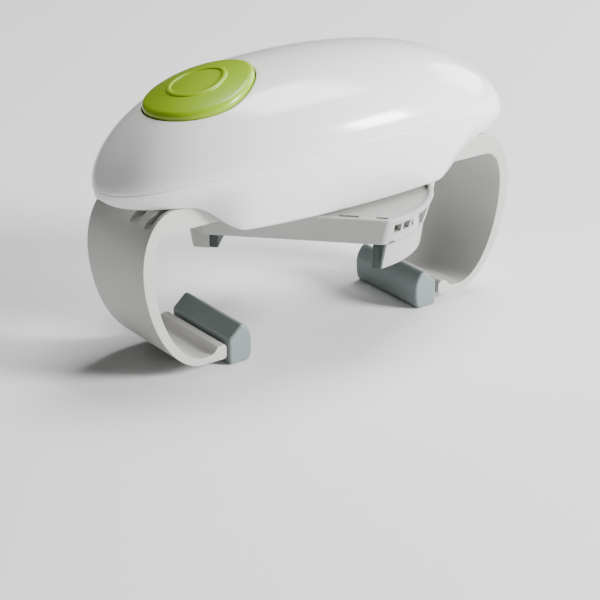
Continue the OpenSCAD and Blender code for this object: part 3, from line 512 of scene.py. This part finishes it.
def doorOutline(grow, steps=8):
    left, low = door["left"] - grow, door["low"] - grow
    right, high = left + door["length"] + 2 * grow, low + door["height"] + 2 * grow
    r = door["corner"] + grow
    corners = [(right - r, high - r), (left + r, high - r), (left + r, low + r), (right - r, low + r)]
    points = []
    for k, (x, z) in enumerate(corners):
        for i in range(steps + 1):
            a = math.pi / 2 * (k + i / steps)
            points.append((x + r * math.cos(a), z + r * math.sin(a)))
    return points


upperShell = loft("upperShell", upperLoops(), wrap=True)
combine(upperShell, prism("doorCut", doorOutline(door["gap"]), *door["cut"], alongY))
finishPiece(smooth(upperShell, 40), "housing", shellWhite, "shell_white", "upper_shell")

# Lower shell: sections from the near seam under the keel to the far one
lower = {"stations": 150, "tips": (0.15, 0.45, 0.75), "side": 26, "corner": 1.0, "bottom": 8,
         "edgeArc": 3, "floor": housing["wall"] + 0.2, "least": 0.3, "cornerHigh": 0.4,
         "cornerWide": 0.2, "cornerFoot": 1.2, "cornerSteps": 10}
channel = {"half": 20.7, "bottom": 59.4, "top": 68.7, "from": 38.0, "to": 95.0}
keelBore = {"radius": 13.25, "steps": 96, "low": 50, "high": 62}


def hullSection(x, inner=False):
    across, depth = planY(x, -housing["wall"] if inner else 0.0), keelDepth(x)
    if inner:
        depth = max(depth - lower["floor"], lower["least"] * depth)
    depth = max(depth, 1e-3)
    half = []
    for i in range(lower["side"] + 1):
        s = i / lower["side"]
        half.append((across * (1 - (1 - housing["share"]) * s ** housing["side"]), depth * s))
    reach = min(lower["corner"], depth * lower["cornerHigh"], across * lower["cornerWide"])
    side = [p for p in half if depth - p[1] > reach]
    after = (half[-1][0] - reach * lower["cornerFoot"], depth)
    corner = roundCorner(side[-1], half[-1], after)
    profile = resample(side[:-1] + corner, lower["side"] + lower["cornerSteps"], closed=False)
    profile += [(after[0] * (1 - i / lower["bottom"]), depth) for i in range(1, lower["bottom"] + 1)]
    return [(-p, d) for p, d in profile] + profile[-2::-1]


def hullLoops():
    loops, edge, count = [], housing["edge"], lower["stations"]
    for i in (*lower["tips"], *range(1, count), *(count - tip for tip in reversed(lower["tips"]))):
        turn = math.cos(math.pi * i / count)
        x = -housing["length"] * turn
        soft, least = min(edge, planY(x) * 0.5), min(edge, keelDepth(x) * 0.5)
        outer = [Vector((x, y, seamZ(x) - max(d, least))) for y, d in hullSection(x)]
        first = [Vector((x, -planY(x) + soft * (1 - math.cos(a)), seamZ(x) - soft * (1 - math.sin(a))))
                 for a in reversed(arcSteps(lower["edgeArc"])[1:])]
        last = [Vector((p.x, -p.y, p.z)) for p in reversed(first)]
        x = -(housing["length"] - housing["wall"]) * turn
        inner = [Vector((x, y, seamZ(x) - d)) for y, d in hullSection(x, inner=True)]
        loops.append(first + outer + last + inner[::-1])
    return loops


lowerShell = loft("lowerShell", hullLoops())
for side in (-1, 1):
    near, far = sorted((side * channel["from"], side * channel["to"]))
    combine(lowerShell, block("channelCut", (near, -channel["half"], channel["bottom"]),
                              (far, channel["half"], channel["top"])))
keelHole = circle(keelBore["radius"], keelBore["steps"])
combine(lowerShell, prism("boreCut", keelHole, keelBore["low"], keelBore["high"]))
finishPiece(smooth(lowerShell, 40), "housing", shellWhite, "shell_white", "lower_shell")

# Seam strip: a dark band behind the joint line, painted shade for the groove where the two shells meet
strip = {"outer": -0.45, "inner": -1.4, "half": 0.5, "steps": 240}


def stripLoops():
    outer, inner, half = strip["outer"], strip["inner"], strip["half"]
    return [[Vector((x, y, seamZ(x) + z)) for x, y in seamOutline(grow, strip["steps"])]
            for grow, z in ((outer, -half), (outer, half), (inner, half), (inner, -half))]


# the strip's dark colour is painted shade, not the colour of the plastic behind the joint
seamStrip = smooth(loft("seamStrip", stripLoops(), wrap=True), 40)
finishPiece(seamStrip, "housing", seamShadeGrey, "inner_plastic")

# Screws: one head with a cross recess, repeated at its seats
carrierAngle = -46.0  # the carrier's turn under the housing, in degrees
housingScrew = {"at": (79.0, 11.5), "head": 2.4, "low": 72.52, "high": 74.52, "shank": 1.4,
                "top": 83.5, "slot": 1.0}
carrierScrew = {"at": (17.0, 22.0), "head": 2.1, "low": 45.6, "high": 46.4, "shank": 1.1,
                "top": 51.2, "slot": 0.45}
screwHead = {"chamfer": 0.25, "slotLong": 0.62, "slotWide": 0.13, "steps": 32}


def screws(name, form, angle):
    head, low, high, chamfer = form["head"], form["low"], form["high"], screwHead["chamfer"]
    profile = ((head - chamfer, low), (head, low + chamfer), (head, high), (form["shank"], high),
               (form["shank"], form["top"]))
    one = loft("oneScrew", [level(circle(radius, screwHead["steps"]), z) for radius, z in profile])
    long, wide = head * screwHead["slotLong"], head * screwHead["slotWide"]
    for a, b in ((long, wide), (wide, long)):
        combine(one, block("slot", (-a, -b, low - 1), (a, b, low + form["slot"])))
    x, y = form["at"]
    points = [(i * x, j * y, 0) for i in (-1, 1) for j in (-1, 1)]
    return turned(repeat(name, smooth(one, 30), points, steel, math.pi / 2), angle)


housingScrews = screws("housingScrews", housingScrew, 0)
carrierScrews = screws("carrierScrews", carrierScrew, carrierAngle)
finishPiece(housingScrews, "housing", steel, "steel", "housing_screws")
finishPiece(carrierScrews, "lid_carrier", steel, "steel", "carrier_screws")

# Clutch spring: a round wire on a helix
coil = {"radius": 6.1, "wire": 0.45, "wireSteps": 10, "turns": 4, "steps": 28, "low": 67.8,
        "high": 73.0}


def coilLoops():
    loops, wire, count = [], coil["wire"], coil["turns"] * coil["steps"]
    for i in range(count + 1):
        a, rise = math.tau * i / coil["steps"], (coil["high"] - coil["low"] - 2 * wire) * i / count
        ring = circle(wire, coil["wireSteps"], (coil["radius"], coil["low"] + wire + rise))
        loops.append([(p * math.cos(a), p * math.sin(a), q) for p, q in ring])
    return loops


clutchSpring = smooth(loft("clutchSpring", coilLoops()), 60)
finishPiece(clutchSpring, "drive_spindle", steel, "steel", "clutch_spring")


# Start button: crowned face, rolled edge, skirt
def buttonLoops():
    proud, roll = button["proud"], button["roll"]
    rings, innerRings = button["rings"], button["innerRings"]
    face, inside = buttonOutline(-roll), buttonOutline(-button["skin"])
    loops = [ontoDome(scaled(face, k / rings), proud) for k in range(1, rings + 1)]
    for angle in arcSteps(button["rollArc"])[1:]:
        ring = buttonOutline(-roll * (1 - math.sin(angle)))
        loops.append(ontoDome(ring, proud, -roll * (1 - math.cos(angle))))
    for ring in (buttonOutline(0), inside):
        loops.append([buttonPoint(u, v, -button["skirt"]) for u, v in ring])
    for k in range(innerRings, 0, -1):
        loops.append(ontoDome(scaled(inside, k / innerRings), proud - button["skin"]))
    return loops


# Under its face: a stem down to the switch, and a collar round the spring
stem = {"radius": 3.0, "steps": 48, "low": -12.6, "top": 1.2}
collar = {"outer": 9.8, "inner": 7.6, "steps": 96, "low": -4.0, "top": -0.5}
startButton = loft("startButton", buttonLoops())
stemRound = circle(stem["radius"], stem["steps"])
combine(startButton, prism("stem", stemRound, stem["low"], stem["top"], buttonPoint), "UNION")
combine(startButton, tube("collar", collar["outer"], collar["inner"], collar["steps"], collar["low"],
                          collar["top"], buttonPoint), "UNION")
finishPiece(smooth(startButton, 50), "start_button", buttonGreen, "button_green", "start_button")

# Tactile ridge: a plain raised oval on the button's face
ridge = {"share": 0.5, "half": 1.1, "height": 0.55, "sunk": 0.5, "arc": 8}


def ridgeLoops():
    share, loops = ridge["share"], []
    for k in range(ridge["arc"] + 1):
        a = math.pi * k / ridge["arc"]
        ring = buttonOutline(-ridge["half"] * math.cos(a) / share, share)
        loops.append(ontoDome(ring, button["proud"], ridge["height"] * math.sin(a)))
    return loops + [ontoDome(buttonOutline(0, share), button["proud"], -ridge["sunk"])]


buttonRidge = smooth(loft("buttonRidge", ridgeLoops(), wrap=True), 60)
finishPiece(buttonRidge, "start_button", buttonGreen, "button_green")


# Battery door: the patch of the dome inside its outline, with soft edges
def doorLoops():
    outline, edge = resample(doorOutline(0), door["steps"]), door["edge"]
    cx, cz = door["left"] + door["length"] / 2, door["low"] + door["height"] / 2

    def side(x, z, grow):
        rise = min(1.0, max(0.0, (z - seamZ(x)) / crown(x, grow)))
        return planY(x, grow) * math.sqrt(1 - rise * rise)

    def ring(share, inset, grow=0, sink=0.0):
        points = []
        for x, z in outline:
            f = share * (1 - inset / math.hypot(x - cx, z - cz))
            px, pz = cx + (x - cx) * f, cz + (z - cz) * f
            points.append(Vector((px, side(px, pz, grow) - sink, pz)))
        return points

    rings, innerRings = door["rings"], door["innerRings"]
    loops = [ring(k / rings, edge) for k in range(1, rings + 1)]
    for a in arcSteps(door["edgeArc"])[1:]:
        loops.append(ring(1, edge * (1 - math.sin(a)), sink=edge * (1 - math.cos(a))))
    loops += [ring(k / innerRings, 0, -housing["wall"]) for k in range(innerRings, 0, -1)]
    return loops


batteryDoor = smooth(loft("batteryDoor", doorLoops()), 50)
finishPiece(batteryDoor, "battery_door", shellWhite, "shell_white", "battery_door")

# Outer arms: a hooked band with hollows in its shoulder. Pulls shape its curves.
arm = {"width": 40.4, "reach": 87.9, "belly": 46.0, "wall": 4.3, "sole": 2.8, "lift": 3.6,
       "barLow": 60.0, "barTop": 68.4, "barEnd": 50.0, "tip": 52.2, "tipHeight": 6.0,
       "tipRound": 1.8, "rackLow": 61.0, "rackHeight": 5.4, "pitchLine": 12.0, "rackSide": 17.2,
       "opening": 14.0, "closing": 18.0, "edge": 0.8}
armSteps = {"shoulder": 36, "hook": 60, "tip": 8}
armPulls = {"shoulder": (13.9, 5.9, 12.0), "hook": (21.0, 11.9, 25.2), "inside": (0.6, 8.6, 17.0),
            "under": (8.0, 2.6, 8.6),
            "lip": ((4, 0.3), (5.5, 2.6)), "dip": ((6, 0.4), (8, 0.1))}
hollow = {"bands": ((-18.4, -14.6), (-10.2, -5.0)),
          "floor": ((12, 5.0), (7, 5.5), (3.5, 6.7), (-2, 9.4)), "over": 1.0}
rackWay = {"long": 7.0, "over": 1.0, "side": (-17.6, -10.6), "height": (59, 70)}
tongue = {"end": 57.2, "root": 50.4, "mouth": 51.4, "half": 15.0, "low": 5.45, "top": 7.45,
          "endPlay": 0.2, "sidePlay": 0.1, "play": 0.05}


def armOutline():
    r, b, s, tip, soft = arm["reach"], arm["belly"], arm["lift"], arm["tip"], arm["tipRound"]
    i, high, sole = r - arm["wall"], s + arm["tipHeight"], s + arm["sole"]
    low, top, end = arm["barLow"], arm["barTop"], arm["barEnd"]
    (start, pull, rise), (fall, bow, foot) = armPulls["shoulder"], armPulls["hook"]
    lift, innerBow, innerFall = armPulls["inside"]
    innerRise, innerPull, innerStart = armPulls["under"]
    return (
        [(-end, low), (-end, top)]
        + bezier((-r + start, top), (-r + pull, top), (-r, b + rise), (-r, b), armSteps["shoulder"])
        + bezier((-r, b), (-r, b - fall), (-r + bow, s - 0.2), (-r + foot, s), armSteps["hook"])[1:]
        + roundCorner((-tip - soft, s), (-tip, s), (-tip, s + soft))
        + roundCorner((-tip, high - soft), (-tip, high), (-tip - soft, high))
        + bezier(*((-tip - along, high - down) for along, down in armPulls["lip"]),
                 *((-tip - along, sole + up) for along, up in armPulls["dip"]), armSteps["tip"])
        + bezier((-r + foot, sole), (-i + innerBow, sole + lift), (-i, b - innerFall), (-i, b),
                 armSteps["hook"])[1:]
        + bezier((-i, b), (-i, b + innerRise), (-i + innerPull, low), (-i + innerStart, low),
                 armSteps["shoulder"])[1:]
    )


def hollowOutline():
    r, top, start = arm["reach"], arm["barTop"], -arm["barEnd"] + hollow["over"]
    floor = [(-r + along, top - deep) for along, deep in hollow["floor"]]
    return [(start, top + 1), (start, floor[0][1]), *floor, (floor[-1][0], top + 1)]


def makeArm(name):
    made = prism(name, armOutline(), -arm["width"] / 2, arm["width"] / 2, alongY)
    for low, high in hollow["bands"]:
        combine(made, prism("hollowCut", hollowOutline(), low, high, alongY))
    (near, far), (low, high) = rackWay["side"], rackWay["height"]
    combine(made, block("rackWay", (-arm["barEnd"] - rackWay["long"], near, low),
                        (-arm["barEnd"] + rackWay["over"], far, high)))
    half, play = tongue["half"] + tongue["sidePlay"], tongue["play"]
    combine(made, block("tongueCut", (-tongue["end"] - tongue["endPlay"], -half, tongue["low"] - play),
                        (-tongue["mouth"], half, tongue["top"] + play)))
    return smooth(bevel(made, arm["edge"], 4), 35, weighted=True)


# Racks: a plain bar, and teeth repeated along it
rack = {"pitch": math.pi, "tip": 0.8, "root": 1.25, "play": 0.06, "before": 5.0, "over": 4.0,
        "slope": math.tan(math.radians(20)), "sink": 0.1}


def rackTooth(low, high):
    half, tip, root = rack["pitch"] / 4 - rack["play"], rack["tip"], rack["root"]
    wide, narrow, foot = half + root * rack["slope"], half - tip * rack["slope"], root + rack["sink"]
    return prism("tooth", [(-wide, foot), (-narrow, -tip), (narrow, -tip), (wide, foot)], low, high)


def rackTeeth(name, start, end, at, low, high, look):
    first, last = math.ceil(start / rack["pitch"] - 0.5), math.floor(end / rack["pitch"] - 0.5)
    points = [((k + 0.5) * rack["pitch"], at, 0) for k in range(first, last + 1)]
    return repeat(name, rackTooth(low, high), points, look)


def armRack(name):
    low, high, line = arm["rackLow"], arm["rackLow"] + arm["rackHeight"], arm["pitchLine"]
    end = arm["opening"] + rack["over"]
    bar = block(name, (-arm["barEnd"] - 2, line + rack["root"] - rack["sink"], low),
                (end, arm["rackSide"], high))
    teeth = rackTeeth("teeth", -arm["closing"] - rack["before"], end, line, low, high, armGrey)
    return smooth(gather(name, [bar, teeth]), 30)


sides = {"left": 0, "right": 180}
for side, angle in sides.items():
    body = side + "_arm"
    finishPiece(turned(makeArm(side + "Arm"), angle), body, armGrey, "arm_grey", side + "_jar_arm")
    finishPiece(turned(armRack(side + "ArmRack"), angle), body, armGrey, "arm_grey")

# Arm pads: rounded wedges with a tongue in the arm's tip
pad = {"radius": 40.3, "thickness": 10.6, "height": 16.3, "edge": 1.1, "face": 9.3, "steps": 8,
       "faceSteps": 24}
padPulls = {"heel": ((2.2, 0), (0.7, 0), (0, 0.7), (0, 2.2)), "toe": ((0, 1.5), (1, 0), (3.2, 0)),
            "shoulder": ((0, 6.6), (0, 5.6), (0.4, 5.2), (1.2, 4.6)),
            "crest": ((5.2, 0.9), (3.2, -0.2), (0.3, 3.3), (0, 7.3))}


def padOutline():
    r, h, back = pad["radius"], pad["height"], -pad["radius"] - pad["thickness"]
    return (
        bezier(*((back + along, up) for along, up in padPulls["heel"]), pad["steps"])
        + bezier(*((back + along, h - down) for along, down in padPulls["shoulder"]), pad["steps"])
        + bezier(*((-r - along, h - down) for along, down in padPulls["crest"]), pad["faceSteps"])
        + bezier((-r, h - pad["face"]), *((-r - along, up) for along, up in padPulls["toe"]),
                 pad["faceSteps"])
    )


for side, angle in sides.items():
    made = prism(side + "Pad", padOutline(), -arm["width"] / 2, arm["width"] / 2, alongY)
    bevel(made, pad["edge"], 4)
    combine(made, block("tongue", (-tongue["end"], -tongue["half"], tongue["low"]),
                        (-tongue["root"], tongue["half"], tongue["top"])), "UNION")
    made = turned(smooth(made, 40, weighted=True), angle)
    finishPiece(made, side + "_arm", padRubber, "pad_rubber", side + "_jar_pad")

# Carrier: a round plate with two flats, a raised rim and leaning end walls
carrier = {"radius": 50.4, "half": 30.7, "lean": 3.6, "low": 45.5, "top": 55.5, "wall": 2.0,
           "corner": 3.0, "hub": 11.0, "hubTop": 58.9, "bore": 4.05, "rim": 1.7, "rimHalf": 0.4,
           "dish": 0.8, "cover": 1.5, "groove": 0.8, "offset": 8.0, "edge": 0.9, "edgeArc": 5,
           "chamfer": 0.25, "chamferTop": 0.3, "boss": 3.0, "slopeArc": 6, "roof": 2.4,
           "faceSteps": 40, "cornerSteps": 8, "flatSteps": 12}
slideWay = {"side": 0.4, "top": 0.3, "low": 0.2, "rack": 1.0, "beyond": 67.0}
windows = {"pitch": 6.1, "start": 4.2, "half": 2.0, "low": 4.1, "top": 7.4, "from": 45.4,
           "to": 55.4, "counts": {-1: 3, 1: 4}}


def arcOffset(lean):
    return carrier["offset"] * (1 - lean / carrier["lean"])


def cornerReach(lean):
    c, offset = carrier["corner"], arcOffset(lean)
    across = carrier["half"] - c
    return offset + math.sqrt((carrier["radius"] - lean - offset - c) ** 2 - across ** 2)


def carrierOutline(grow, z):
    lean = carrier["lean"] * (carrier["top"] - z) / (carrier["top"] - carrier["low"])
    offset = arcOffset(lean)
    r, c = carrier["radius"] + grow - lean - offset, carrier["corner"] + grow
    cx, cy = cornerReach(lean), carrier["half"] - carrier["corner"]
    bearing = math.atan2(cy, cx - offset)
    faceSteps, cornerSteps, flatSteps = (carrier[key] for key in ("faceSteps", "cornerSteps", "flatSteps"))
    turns = [bearing * k / faceSteps for k in range(faceSteps)]
    quarter = [(offset + r * math.cos(a), r * math.sin(a)) for a in turns]
    for i in range(cornerSteps + 1):
        a = bearing + (math.pi / 2 - bearing) * i / cornerSteps
        quarter.append((cx + c * math.cos(a), cy + c * math.sin(a)))
    quarter += [(cx * (1 - k / flatSteps), cy + c) for k in range(1, flatSteps + 1)]
    upperHalf = quarter + [(-x, y) for x, y in reversed(quarter[:-1])]
    return upperHalf + [(x, -y) for x, y in reversed(upperHalf[1:-1])]


def carrierRing(grow, z, drop=0.0):
    return level(carrierOutline(grow, z), z - drop)


cornerAngle = math.degrees(math.atan2(carrier["half"] - carrier["corner"], cornerReach(0)))
jaw = {"face": 32.0, "rubber": 3.4, "sweep": 450.0, "low": 35.5, "top": 45.2, "radius": 46.8,
       "lean": 1.4, "overlap": 19.0, "back": 8.0, "side": 0.3, "slideNear": 8.25,
       "slideFar": 15.45, "slideLow": 47.2, "slideTop": 53.0, "slideEnd": 46.0, "slideProud": 0.4,
       "rackOver": 6.0, "stop": 18.0, "opening": 12.0, "closing": 14.0, "pitchLine": 7.0,
       "endShadeSkin": 1.2, "edge": 0.6}
flange = {"inner": 36.8, "half": 28.6, "play": 0.3, "side": 0.1, "steps": 192}
jawSpace = {"near": 20.0, "far": 60.0, "low": 30.0, "high": 60.0}  # a box well past the jaw


def carrierLoops():
    low, top, edge = carrier["low"], carrier["top"], carrier["edge"]
    loops = [carrierRing(-carrier["chamfer"], low), carrierRing(0, low + carrier["chamferTop"]),
             carrierRing(0, top - edge)]
    for a in arcSteps(carrier["edgeArc"])[1:]:
        loops.append(carrierRing(edge * (math.cos(a) - 1), top, edge * (1 - math.sin(a))))
    for k in range(carrier["slopeArc"] + 1):
        share = 1 - math.cos(math.pi * k / carrier["slopeArc"])
        inset = carrier["rim"] + carrier["rimHalf"] * share
        loops.append(carrierRing(-inset, top, carrier["dish"] * share / 2))
    return loops


notches = (
    {"x": 21.0, "y": carrier["half"] - 4.0, "wide": 8.0, "deep": 3.6},
    {"x": cornerReach(0) - 2.1, "y": carrier["half"] - 3.9, "wide": 4.6, "deep": 3.3},
)


def windowCuts(half):
    low, top, cuts = carrier["low"], carrier["top"], []
    for side, count in windows["counts"].items():
        for k in range(count):
            at = half + side * (cornerAngle - windows["start"] - windows["pitch"] * k)
            cuts.append(turnedBlock((windows["from"], -windows["half"], low + windows["low"]),
                                    (windows["to"], windows["half"], low + windows["top"]), at))
    for y in (-1, 1):
        for form in notches:
            x, at, wide, deep = form["x"], y * form["y"], form["wide"] / 2, form["deep"] / 2
            cuts.append(turnedBlock((x - wide, at - deep, top - 5), (x + wide, at + deep, top + 2),
                                    half))
    return cuts


def makeCarrier():
    top, low, beyond = carrier["top"], carrier["low"], slideWay["beyond"]
    made = loft("lidCarrier", carrierLoops())
    inner = [carrierRing(-carrier["wall"], z) for z in (low - 1, top - carrier["roof"])]
    combine(made, loft("hollow", inner))
    combine(made, prism("hub", circle(carrier["hub"], 96), top - 2, carrier["hubTop"]), "UNION")
    bossX, bossY = carrierScrew["at"]
    for x in (-bossX, bossX):
        for y in (-bossY, bossY):
            boss = prism("boss", circle(carrier["boss"], 32, (x, y)), low + carrier["cover"], top - 2)
            combine(made, boss, "UNION")
    for half in sides.values():
        side = flange["half"] + flange["side"]
        combine(made, turnedBlock((flange["inner"] - flange["play"], -side, low - 1),
                                  (beyond, side, low + carrier["groove"]), half))
        combine(made, turnedBlock(
            (flange["inner"], -jaw["slideFar"] - slideWay["side"], low + slideWay["low"]),
            (beyond, -jaw["pitchLine"] + slideWay["rack"], jaw["slideTop"] + slideWay["top"]), half))
        combine(made, gather("windows", windowCuts(half)))
    combine(made, prism("bore", circle(carrier["bore"], 64), low - 2, 62))
    return smooth(turned(made, carrierAngle), 32)


finishPiece(makeCarrier(), "lid_carrier", carrierGrey, "carrier_grey", "lid_carrier")


# Jaws: a block whose outer face carries on the carrier's wall, a flange, a slide and a rack
def jawLevel(radius, z):
    back, edge, steps = jaw["face"] - jaw["back"], -carrier["half"] + jaw["side"], 48
    first, last = math.asin(edge / radius), math.asin(jaw["overlap"] / radius)
    angles = [first + (last - first) * i / steps for i in range(steps + 1)]
    face = [(radius * math.cos(a), radius * math.sin(a)) for a in angles]
    return level([(back, jaw["overlap"]), (back, edge), *face], z)


def sweepCylinder(name, radius, low, high):
    return prism(name, circle(radius, 720, (jaw["face"] - jaw["sweep"], 0)), low, high)


def jawBlock(name, near, far):
    foot = jawLevel(jaw["radius"] - jaw["lean"], jaw["low"])
    made = loft(name, [foot, jawLevel(jaw["radius"], jaw["top"])])
    combine(made, sweepCylinder("grip", jaw["sweep"] + jaw["rubber"], jaw["low"] - 1, jaw["top"] + 1))
    combine(made, block("keep", (jawSpace["near"], near, jawSpace["low"]),
                        (jawSpace["far"], far, jawSpace["high"])), "INTERSECT")
    return bevel(made, jaw["edge"], 4, 40)


endShadeEdge = jaw["endShadeSkin"] - carrier["half"]  # where the jaw's dark end skin, painted shade on the jaw's end face, meets its block
plates = (
    {"top": carrier["groove"] - flange["play"], "near": jaw["overlap"] - 1, "far": 3 - flange["half"]},
    {"top": carrier["cover"] + 1, "near": -jaw["slideNear"], "far": -jaw["slideFar"]},
)


def makeJaw(name):
    made = jawBlock(name, endShadeEdge, jawSpace["far"])
    for plate in plates:
        rim = circle(jaw["radius"] - flange["play"], flange["steps"])
        disc = prism("plate", rim, jaw["top"] - 0.5, carrier["low"] + plate["top"])
        keep = block("keep", (flange["inner"], plate["far"], jawSpace["low"]),
                     (jawSpace["far"], plate["near"], jawSpace["high"]))
        combine(made, combine(disc, keep, "INTERSECT"), "UNION")
    slide = block("slide", (-jaw["stop"], -jaw["slideFar"], jaw["slideLow"]),
                  (jaw["slideEnd"], -jaw["slideNear"] + rack["sink"], jaw["slideTop"]))
    trim = circle(jaw["radius"] + jaw["slideProud"], flange["steps"])
    combine(slide, prism("trim", trim, jawSpace["low"], jawSpace["high"]), "INTERSECT")
    return smooth(combine(made, slide, "UNION"), 35)


def jawTeeth(name):
    start, end = -jaw["closing"] - rack["before"], jaw["opening"] + jaw["rackOver"]
    teeth = rackTeeth(name, start, end, 0, jaw["slideLow"], jaw["slideTop"], carrierGrey)
    turned(teeth, 180)
    teeth.data.transform(Matrix.Translation((0, -jaw["pitchLine"] * mm, 0)))
    return smooth(teeth, 30)


rubberFace = {"near": 0.6, "far": 0.2, "back": 40.0, "edge": 0.5}


def jawRubberFace(name):
    near, far = rubberFace["near"] - carrier["half"], jaw["overlap"] - rubberFace["far"]
    low, high = jawSpace["low"], jawSpace["high"]
    made = block(name, (jawSpace["near"], near, jaw["low"]), (rubberFace["back"], far, jaw["top"]))
    combine(made, sweepCylinder("keep", jaw["sweep"] + jaw["rubber"], low, high), "INTERSECT")
    combine(made, sweepCylinder("grip", jaw["sweep"], low, high))
    return smooth(bevel(made, rubberFace["edge"], 3, 40), 35)


for letter, half in (("A", 0), ("B", 180)):
    body, turn = "lid_jaw_" + letter.lower(), carrierAngle + half
    finishPiece(turned(makeJaw("lidJaw" + letter), turn), body, carrierGrey, "carrier_grey", body)
    # the jaw's end: a thin skin in the dark rubber material that paints the shade on the end face
    end = smooth(jawBlock("jawEnd" + letter, -jawSpace["far"], endShadeEdge + 0.01), 35)
    finishPiece(turned(end, turn), body, jawRubber, "jaw_rubber")
    finishPiece(turned(jawTeeth("jawTeeth" + letter), turn), body, carrierGrey, "carrier_grey")
    rubber = turned(jawRubberFace("jawRubber" + letter), turn)
    finishPiece(rubber, body, jawRubber, "jaw_rubber", "jaw_rubber_" + letter.lower())

# Floor, light and camera, in metres
studio = {"floor": 3000, "floorZ": -0.1, "floorShade": 0.88, "world": 0.07}
lights = {
    "key": {"at": (0.95, -1.1, 0.6), "to": (0.03, 0, 0.08), "size": 0.5, "power": 62},
    "side": {"at": (1.3, 0.3, 0.5), "to": (0, 0, 0.06), "size": 0.6, "power": 8},
    "top": {"at": (0.5, 0.15, 1.4), "to": (0, 0, 0.06), "size": 0.7, "power": 22},
}
view = {"lens": 121.43, "sensor": 36, "clip": 0.01, "at": (-0.4402, -0.6078, 0.3260),
        "forward": (0.5375, 0.7474, -0.3904), "up": (0.2320, 0.3141, 0.9206)}


def areaLight(name, form):
    data = bpy.data.lights.new(name, "AREA")
    data.shape = "RECTANGLE"
    data.size = data.size_y = form["size"]
    data.energy = form["power"]
    obj = addObject(name, data)
    obj.location = form["at"]
    obj.rotation_euler = (Vector(form["to"]) - Vector(form["at"])).to_track_quat("-Z", "Y").to_euler()


reach = studio["floor"]
corners = [(-reach, -reach), (reach, -reach), (reach, reach), (-reach, reach)]
floorMesh = makeObject("floor", level(corners, studio["floorZ"]), [(0, 1, 2, 3)])
floorPale = material("floorPale", (studio["floorShade"],) * 3, 0.8, bump=0.0, mottle=0.0)
floorMesh.data.materials.append(floorPale)
for name, form in lights.items():
    areaLight(name, form)
world = bpy.data.worlds.new("studio")
world.use_nodes = True
world.node_tree.nodes["Background"].inputs["Color"].default_value = (1, 1, 1, 1)
world.node_tree.nodes["Background"].inputs["Strength"].default_value = studio["world"]
bpy.context.scene.world = world

camera = addObject("camera", bpy.data.cameras.new("camera"))
camera.data.lens = view["lens"]
camera.data.sensor_width = view["sensor"]
camera.data.clip_start = view["clip"]
forward = Vector(view["forward"]).normalized()
right = forward.cross(Vector(view["up"])).normalized()
axes = Matrix((right, right.cross(forward), -forward)).transposed()
camera.matrix_world = Matrix.LocRotScale(Vector(view["at"]), axes.to_quaternion(), None)
bpy.context.scene.camera = camera
print("camera and lights set")
